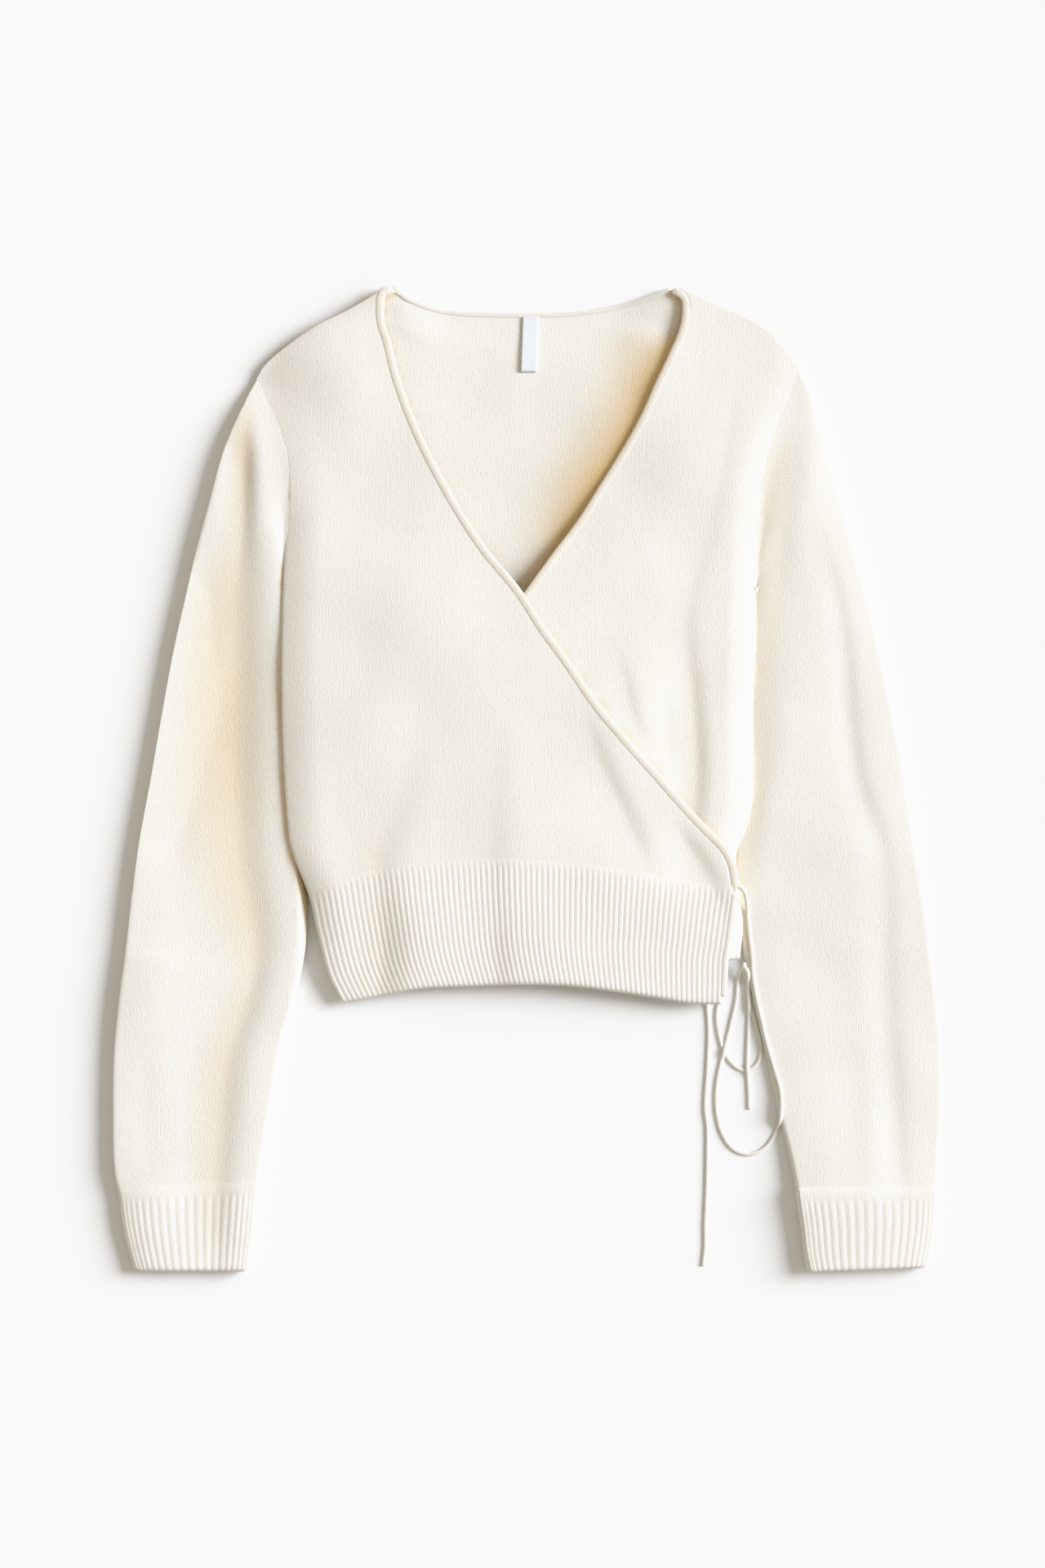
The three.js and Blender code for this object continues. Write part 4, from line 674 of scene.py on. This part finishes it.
right_sleeve = cloth_object("right_sleeve_knit", 110, 200, tube_shape(
    right_sleeve_rows, right_sleeve_folds, right_side, right_height), jersey_wall, 1, ring=True)
left_sleeve = cloth_object("left_sleeve_knit", 110, 200, tube_shape(
    left_sleeve_rows, left_sleeve_folds, left_side, left_height, (0, 4), 0.25, 0.25, 1.6, 30, seed=9),
    jersey_wall, 1, ring=True)
for sleeve, node in ((right_sleeve, "right_sleeve"), (left_sleeve, "left_sleeve")):
    dress(sleeve, node, jersey)

# ---------------------------------------------------------------- Cuffs
# Ribbed tubes that gather the sleeve ends and narrow a little to their open mouths.
cuff_ribs = 46
right_cuff_rows = [
    (-281.6, -282, -184, -276.5, 11, 6, 5, 0, 0), (-278, -308, -187, -304, 10.5, 5.7, 5, 0, 0),
    (-274, -325, -189.5, -324, 10, 5.5, 5, 0, 0), (-270, -338.5, -191.5, -338.5, 10, 5.5, 5, 0, 0)]
left_cuff_rows = [
    (282.6, -282, 184, -281.5, 10.5, 5.5, 5, 0, 0), (281, -306, 188, -307, 10.2, 5.5, 5, 0, 0),
    (278.5, -322, 190, -324, 10, 5.5, 5, 0, 0), (275.5, -336, 193, -339, 10, 5.5, 5, 0, 0)]
right_cuff = cloth_object("right_cuff_knit", 8 * cuff_ribs, 26, tube_shape(
    right_cuff_rows, right_sleeve_folds, right_side, ribs=cuff_ribs), rib_wall, 1, ring=True)
left_cuff = cloth_object("left_cuff_knit", 8 * cuff_ribs, 26, tube_shape(
    left_cuff_rows, left_sleeve_folds, left_side, slow=0.25, gentle=1.6, ribs=cuff_ribs, seed=9),
    rib_wall, 1, ring=True)
for cuff, node in ((right_cuff, "right_cuff"), (left_cuff, "left_cuff")):
    dress(cuff, node, rib_knit)

# ---------------------------------------------------------------- Edge bands
# A narrow band is linked on along the neck edge of each front and round the back neck, and it
# rolls over into a soft cord. A like strip closes the free end of the outer hem rib.
band_width, band_depth = 6.2, 2.3
band_overlap = 1.6


def band_shape(edge, height, outwards, width, depth, sink, fullness=0.7):
    """A rolled band beside an edge: outwards is 1 where it lies left of the run and -1 right of it."""
    def shape(round_share, along):
        step = 0.004
        x, y = edge(along)
        x1, y1 = edge(np.clip(along + step, 0, 1))
        x0, y0 = edge(np.clip(along - step, 0, 1))
        run = np.hypot(x1 - x0, y1 - y0)
        out_x, out_y = outwards * (y0 - y1) / run, outwards * (x1 - x0) / run
        lengths = 0.5 + 0.5 * np.cos(np.pi * np.clip(np.minimum(along, 1 - along) * 60, 0, 1))
        taper = np.sqrt(1 - lengths**2)
        turn = 2 * np.pi * round_share
        side = 0.5 * width - band_overlap + 0.5 * width * np.cos(turn) * taper
        crown = np.sign(np.sin(turn)) * abs(np.sin(turn)) ** fullness
        z = height(x, y) - sink + 0.5 * depth * crown * taper
        return x + out_x * side, y + out_y * side, z, round_share * 2 * (width + depth), along * 420
    return shape


# The front bands start on the back neck, so that they turn over the shoulder in one soft bend.
right_band_line = [(-90, 335.6), (-95, 337.2), (-100, 335.4), (-102.8, 329)]
left_band_line = [(98, 335.6), (103, 336), (107.6, 333.6), (110.6, 328)]
band_right = cloth_object("band_right_knit", 20, 330, band_shape(
    lambda v: along_edge(right_band_line + right_free[2:], v), right_height, 1,
    band_width, band_depth, 0.78), 0, 1, ring=True)
band_left = cloth_object("band_left_knit", 20, 330, band_shape(
    lambda v: along_edge(left_band_line + left_free[3:], v), left_height, -1,
    band_width, band_depth, 0.85), 0, 1, ring=True)
rib_edge = cloth_object("rib_edge_knit", 20, 80, band_shape(
    lambda v: along_edge(rib_free[1:-1] + [(133, -150)], v), right_height, 1, 5.6, 3.1, 1.1), 0, 1, ring=True)
band_neck = cloth_object("band_neck_knit", 20, 160, band_shape(
    lambda u: (neck_right + 3 + (neck_left - neck_right - 6) * u,
               through(shoulder_line, neck_right + 3 + (neck_left - neck_right - 6) * u) - 1.2),
    lambda x, y: back_height(x, y) + 0.8, 1, 4.4, 2.8, 0, 0.5), 0, 1, ring=True)
# Painted shade: the bands' yarn is the jersey's cream darkened a little, to hold back their brightness in the
# lamp's light
shaded_band_knit = knit_material("rolled band", (0.77, 0.725, 0.65, 1), (0.84, 0.81, 0.75, 1),
                          1.9, 1.1, 0.25, 0.95, 0.1)
for band, node in ((band_right, "band_right"), (band_left, "band_left"),
                   (rib_edge, "rib_edge"), (band_neck, "band_neck")):
    dress(band, node, shaded_band_knit)

# ---------------------------------------------------------------- Neck label
# A bare woven satin loop, folded at its lower end, caught under the back neck band.
label_width, label_length = 11, 38


def label_shape(across, along):
    path = along * 2 * label_length
    down = np.where(along < 0.5, path, 2 * label_length - path)
    fold = np.sqrt(np.maximum(1 - (1 - np.clip((label_length - down) / 0.6, 0, 1)) ** 2, 0))
    x = 2.2 + (across - 0.5) * label_width - 1.4 * down / label_length
    y = 318 - down
    z = back_height(x, y) + jersey_wall + 0.5 + np.where(along < 0.5, 0.4, -0.35) * fold
    z = z + 0.4 * smooth(10, 30, down) * np.where(along < 0.5, 1, 0.5)
    return x, y, z, across * label_width, path


label = cloth_object("label_satin", 12, 90, label_shape, 0.3, 1)
satin = bpy.data.materials.new("white satin")
satin.use_nodes = True
tree = satin.node_tree
thread = tree.nodes["Principled BSDF"]
thread.inputs["Roughness"].default_value = 0.42
thread.inputs["Sheen Weight"].default_value = 0.2
satin_uv = tree.nodes.new("ShaderNodeUVMap")
satin_uv.uv_map = "knit"
weave = tree.nodes.new("ShaderNodeTexWave")
weave.inputs["Scale"].default_value = 900
weave.inputs["Distortion"].default_value = 1.5
tree.links.new(satin_uv.outputs["UV"], weave.inputs["Vector"])
satin_tone = tree.nodes.new("ShaderNodeMix")
satin_tone.data_type = "RGBA"
satin_tone.inputs["A"].default_value = (0.76, 0.78, 0.82, 1)
satin_tone.inputs["B"].default_value = (0.83, 0.85, 0.9, 1)
tree.links.new(weave.outputs["Fac"], satin_tone.inputs["Factor"])
tree.links.new(satin_tone.outputs["Result"], thread.inputs["Base Color"])
slub = tree.nodes.new("ShaderNodeBump")
slub.inputs["Strength"].default_value = 0.15
slub.inputs["Distance"].default_value = 0.0002
tree.links.new(weave.outputs["Fac"], slub.inputs["Height"])
tree.links.new(slub.outputs["Normal"], thread.inputs["Normal"])
dress(label, "neck_label", satin)

# ---------------------------------------------------------------- Ties
# Two limp knitted cords, sewn on at the end of the right band and inside the left side seam. Each
# drops over the sleeve's edge, turns in one open loop and runs out to a bare end.
tie_width = 2.6
tie_step, tie_steepest = 2.2, 1.5
tie_side_route = [(149, -126), (151, -142), (154, -158), (158, -172), (160.8, -184), (160, -193),
                  (155, -199.5), (148, -200.5), (141, -196), (135.5, -188), (132, -176), (130.5, -164),
                  (132, -152), (133, -143), (129.5, -136), (123, -136.5), (120.5, -144), (123.5, -155),
                  (125, -173), (124, -201), (122.5, -226), (124, -240), (124, -262), (123.5, -285),
                  (122.5, -308), (122.5, -322), (121, -336)]
tie_front_route = [(143, -73), (148, -76), (150.5, -84), (152.5, -104), (154.5, -121), (155.5, -136),
                   (157.5, -149), (161, -165), (165.5, -184), (170.5, -201), (174.5, -217), (174, -234),
                   (169.5, -247), (162, -255.5), (152, -258.5), (142, -255), (135, -246), (131, -233),
                   (130, -218), (132, -202), (136.5, -184), (140.5, -168), (144, -152), (144.8, -141),
                   (146, -133), (149, -129.5), (151.5, -133), (152, -142), (152.5, -160), (152, -180),
                   (151.5, -198), (152.5, -213), (153, -228)]


def cloth_under(pieces):
    """Search trees of finished pieces, for finding what a cord rests on."""
    graph = bpy.context.evaluated_depsgraph_get()
    return [BVHTree.FromObject(piece, graph) for piece in pieces]


def rest_on(trees, x, y, reach):
    """Height of the cloth below a place and all round it, in millimetres."""
    high = 0
    for a, b in ((0, 0), (reach, 0), (-reach, 0), (0, reach), (0, -reach)):
        for tree in trees:
            hit = tree.ray_cast(Vector(((x + a) * MM, (y + b) * MM, 0.1)), Vector((0, 0, -1)))[0]
            if hit:
                high = max(high, hit.z / MM)
    return high


def lay_tie(name, route, trees, start):
    """A flat knitted cord along a route, on whatever it crosses, from the height of its seam."""
    p = np.array(route, float)
    length = np.hypot(*np.diff(p, axis=0).T).sum()
    count = int(length / tie_step)
    x, y = along_edge(route, np.linspace(0, 1, count))
    z = np.array([rest_on(trees, a, b, tie_width * 0.4) for a, b in zip(x, y)]) + tie_width * 0.28
    z[:4] = np.maximum(z[:4], start)
    for i in range(1, count):
        z[i] = max(z[i], z[i - 1] - tie_steepest)
    for i in range(count - 2, -1, -1):
        z[i] = max(z[i], z[i + 1] - tie_steepest)
    z[1:-1] = (z[:-2] + z[1:-1] * 2 + z[2:]) / 4
    line = np.c_[x, y, z]
    run = np.concatenate([[0], np.cumsum(np.sqrt((np.diff(line, axis=0) ** 2).sum(1)))])

    def shape(round_share, along):
        at = along * run[-1]
        place = [through(np.c_[run, line[:, c]], at) for c in range(3)]
        ahead = [through(np.c_[run, line[:, c]], np.minimum(at + 0.8, run[-1])) for c in range(3)]
        behind = [through(np.c_[run, line[:, c]], np.maximum(at - 0.8, 0)) for c in range(3)]
        dx, dy, dz = (a - b for a, b in zip(ahead, behind))
        flat = np.hypot(dx, dy)
        whole = np.hypot(flat, dz)
        turn = 2 * np.pi * round_share
        taper = np.sqrt(1 - (1 - np.clip(np.minimum(at, run[-1] - at) / 1.2, 0, 1)) ** 2)
        knit_rows = 1 + 0.07 * np.sin(at * 2 * np.pi / 1.7)
        side = 0.5 * tie_width * 1.08 * np.cos(turn) * taper * knit_rows
        up = 0.5 * tie_width * 0.56 * np.sin(turn) * taper
        x = place[0] - dy / flat * side - dx / whole * dz / flat * up
        y = place[1] + dx / flat * side - dy / whole * dz / flat * up
        return x, y, place[2] + flat / whole * up, round_share * 8, at

    tie = cloth_object(name + "_knit", 12, int(run[-1] / 0.9), shape, 0, 1, ring=True)
    dress(tie, name, tie_knit)
    return tie


tie_knit = knit_material("knitted tie", cream_deep, cream_light, 1.3, 0.9, 0.4, 0.9, 0.1)
tie_side = lay_tie("tie_side", tie_side_route, cloth_under([left_sleeve, hem_back]), 6)
lay_tie("tie_front", tie_front_route, cloth_under([left_sleeve, hem_back, hem_left, tie_side]), 17)

# ---------------------------------------------------------------- Painted shade between the layers
# Wool scatters light many times where it is shaded by the layer beside it, which turns it warmer;
# this shade is painted into the yarn's colour. Each piece carries how closed its stitches are, most of
# all towards the lamp, as its own painted shade values.
knitted = [back, right_front, left_front, hem_back, hem_right, hem_left, right_sleeve, left_sleeve,
           right_cuff, left_cuff, band_right, band_left, rib_edge, band_neck]
ray_count, ray_length = 28, 0.055
towards_lamp = lamp.location.normalized()
around = []
for k in range(ray_count):
    sine = math.sqrt((k + 0.5) / ray_count)
    angle = k * 2.399963
    around.append(Vector((sine * math.cos(angle), sine * math.sin(angle), math.sqrt(1 - sine * sine))))
layers = bmesh.new()
for piece in knitted:
    layers.from_mesh(piece.data)
layer_tree = BVHTree.FromBMesh(layers)
layers.free()
# Painted shade: the left side seam and the right armhole lie close between their neighbours
left_seam_shade = [[(176, 245, 0, 10), (166, 215, 1, 12), (160, 170, 1.5, 13), (158, 110, 1.9, 14),
                   (157, 40, 1.9, 14), (154, -20, 1.6, 12), (146, -60, 0.8, 10), (146, -90, 0, 8)]]
right_seam_shade = [[(-190, 280, 0.4, 8), (-176, 240, 1.2, 9), (-168, 200, 1.4, 9), (-167, 150, 0.8, 9),
                    (-168, 110, 0, 8)]]
# Painted shade along creases, seams and the back's swell, with its weight per piece
crease_shade = {back: (back_swell, 0.25), right_front: (right_folds, 0.08), hem_right: (right_folds, 0.06),
                left_front: (left_folds + right_folds + left_seam_shade, 0.1),
                hem_left: (left_folds + right_folds, 0.1),
                right_sleeve: (right_sleeve_folds + right_seam_shade, 0.1),
                right_cuff: (right_sleeve_folds, 0.1),
                left_sleeve: (left_sleeve_folds + left_seam_shade, 0.14)}
# Painted shade laid on the rolled bands, so that they look no whiter than the jersey
band_shade = {band_right: 0.1, band_left: 0.1}
# Most painted shade each piece takes
most_closed = {left_front: 0.25, left_sleeve: 0.2, hem_left: 0.3, hem_right: 0.4, band_right: 0.2,
               band_left: 0.2}
open_air, closed_gain = 0.1, 1.25
for piece in knitted:
    mesh = piece.data
    inside_shows = piece is back
    samples = KDTree(len(mesh.vertices) // 4 + 1)
    values = []
    for vertex in list(mesh.vertices)[::4]:
        normal = -vertex.normal if inside_shows else vertex.normal
        start = vertex.co + normal * (0.0035 if inside_shows else 0.0018)
        turn = normal.to_track_quat("Z", "Y")
        closed = weights = 0
        for ray in around:
            way = turn @ ray
            weight = 0.25 + max(0, way.dot(towards_lamp)) ** 2 * 2
            weights += weight
            distance = layer_tree.ray_cast(start, way, ray_length)[3]
            if distance is not None:
                closed += weight * (1 - (distance / ray_length) ** 2)
        samples.insert(vertex.co, len(values))
        values.append(closed / weights)
    samples.balance()
    painted_shade = mesh.attributes.new("painted_shade", "FLOAT", "POINT")
    shade = np.zeros(len(mesh.vertices))
    for vertex in mesh.vertices:
        near = samples.find_n(vertex.co, 5)
        shade[vertex.index] = sum(values[n[1]] for n in near) / len(near)
    # Painted shade deepened along the listed creases and seams
    if piece in crease_shade:
        lines, shade_weight = crease_shade[piece]
        places = np.array([vertex.co for vertex in mesh.vertices]) / MM
        shade = shade + shade_weight * abs(creases(lines, places[:, 0], places[:, 1]))
    shade = shade + band_shade.get(piece, 0) - open_air
    # Stored per point as painted shade, which darkens and warms the yarn's colour
    painted_shade.data.foreach_set("value", np.clip(shade * closed_gain, 0, most_closed.get(piece, 1)))
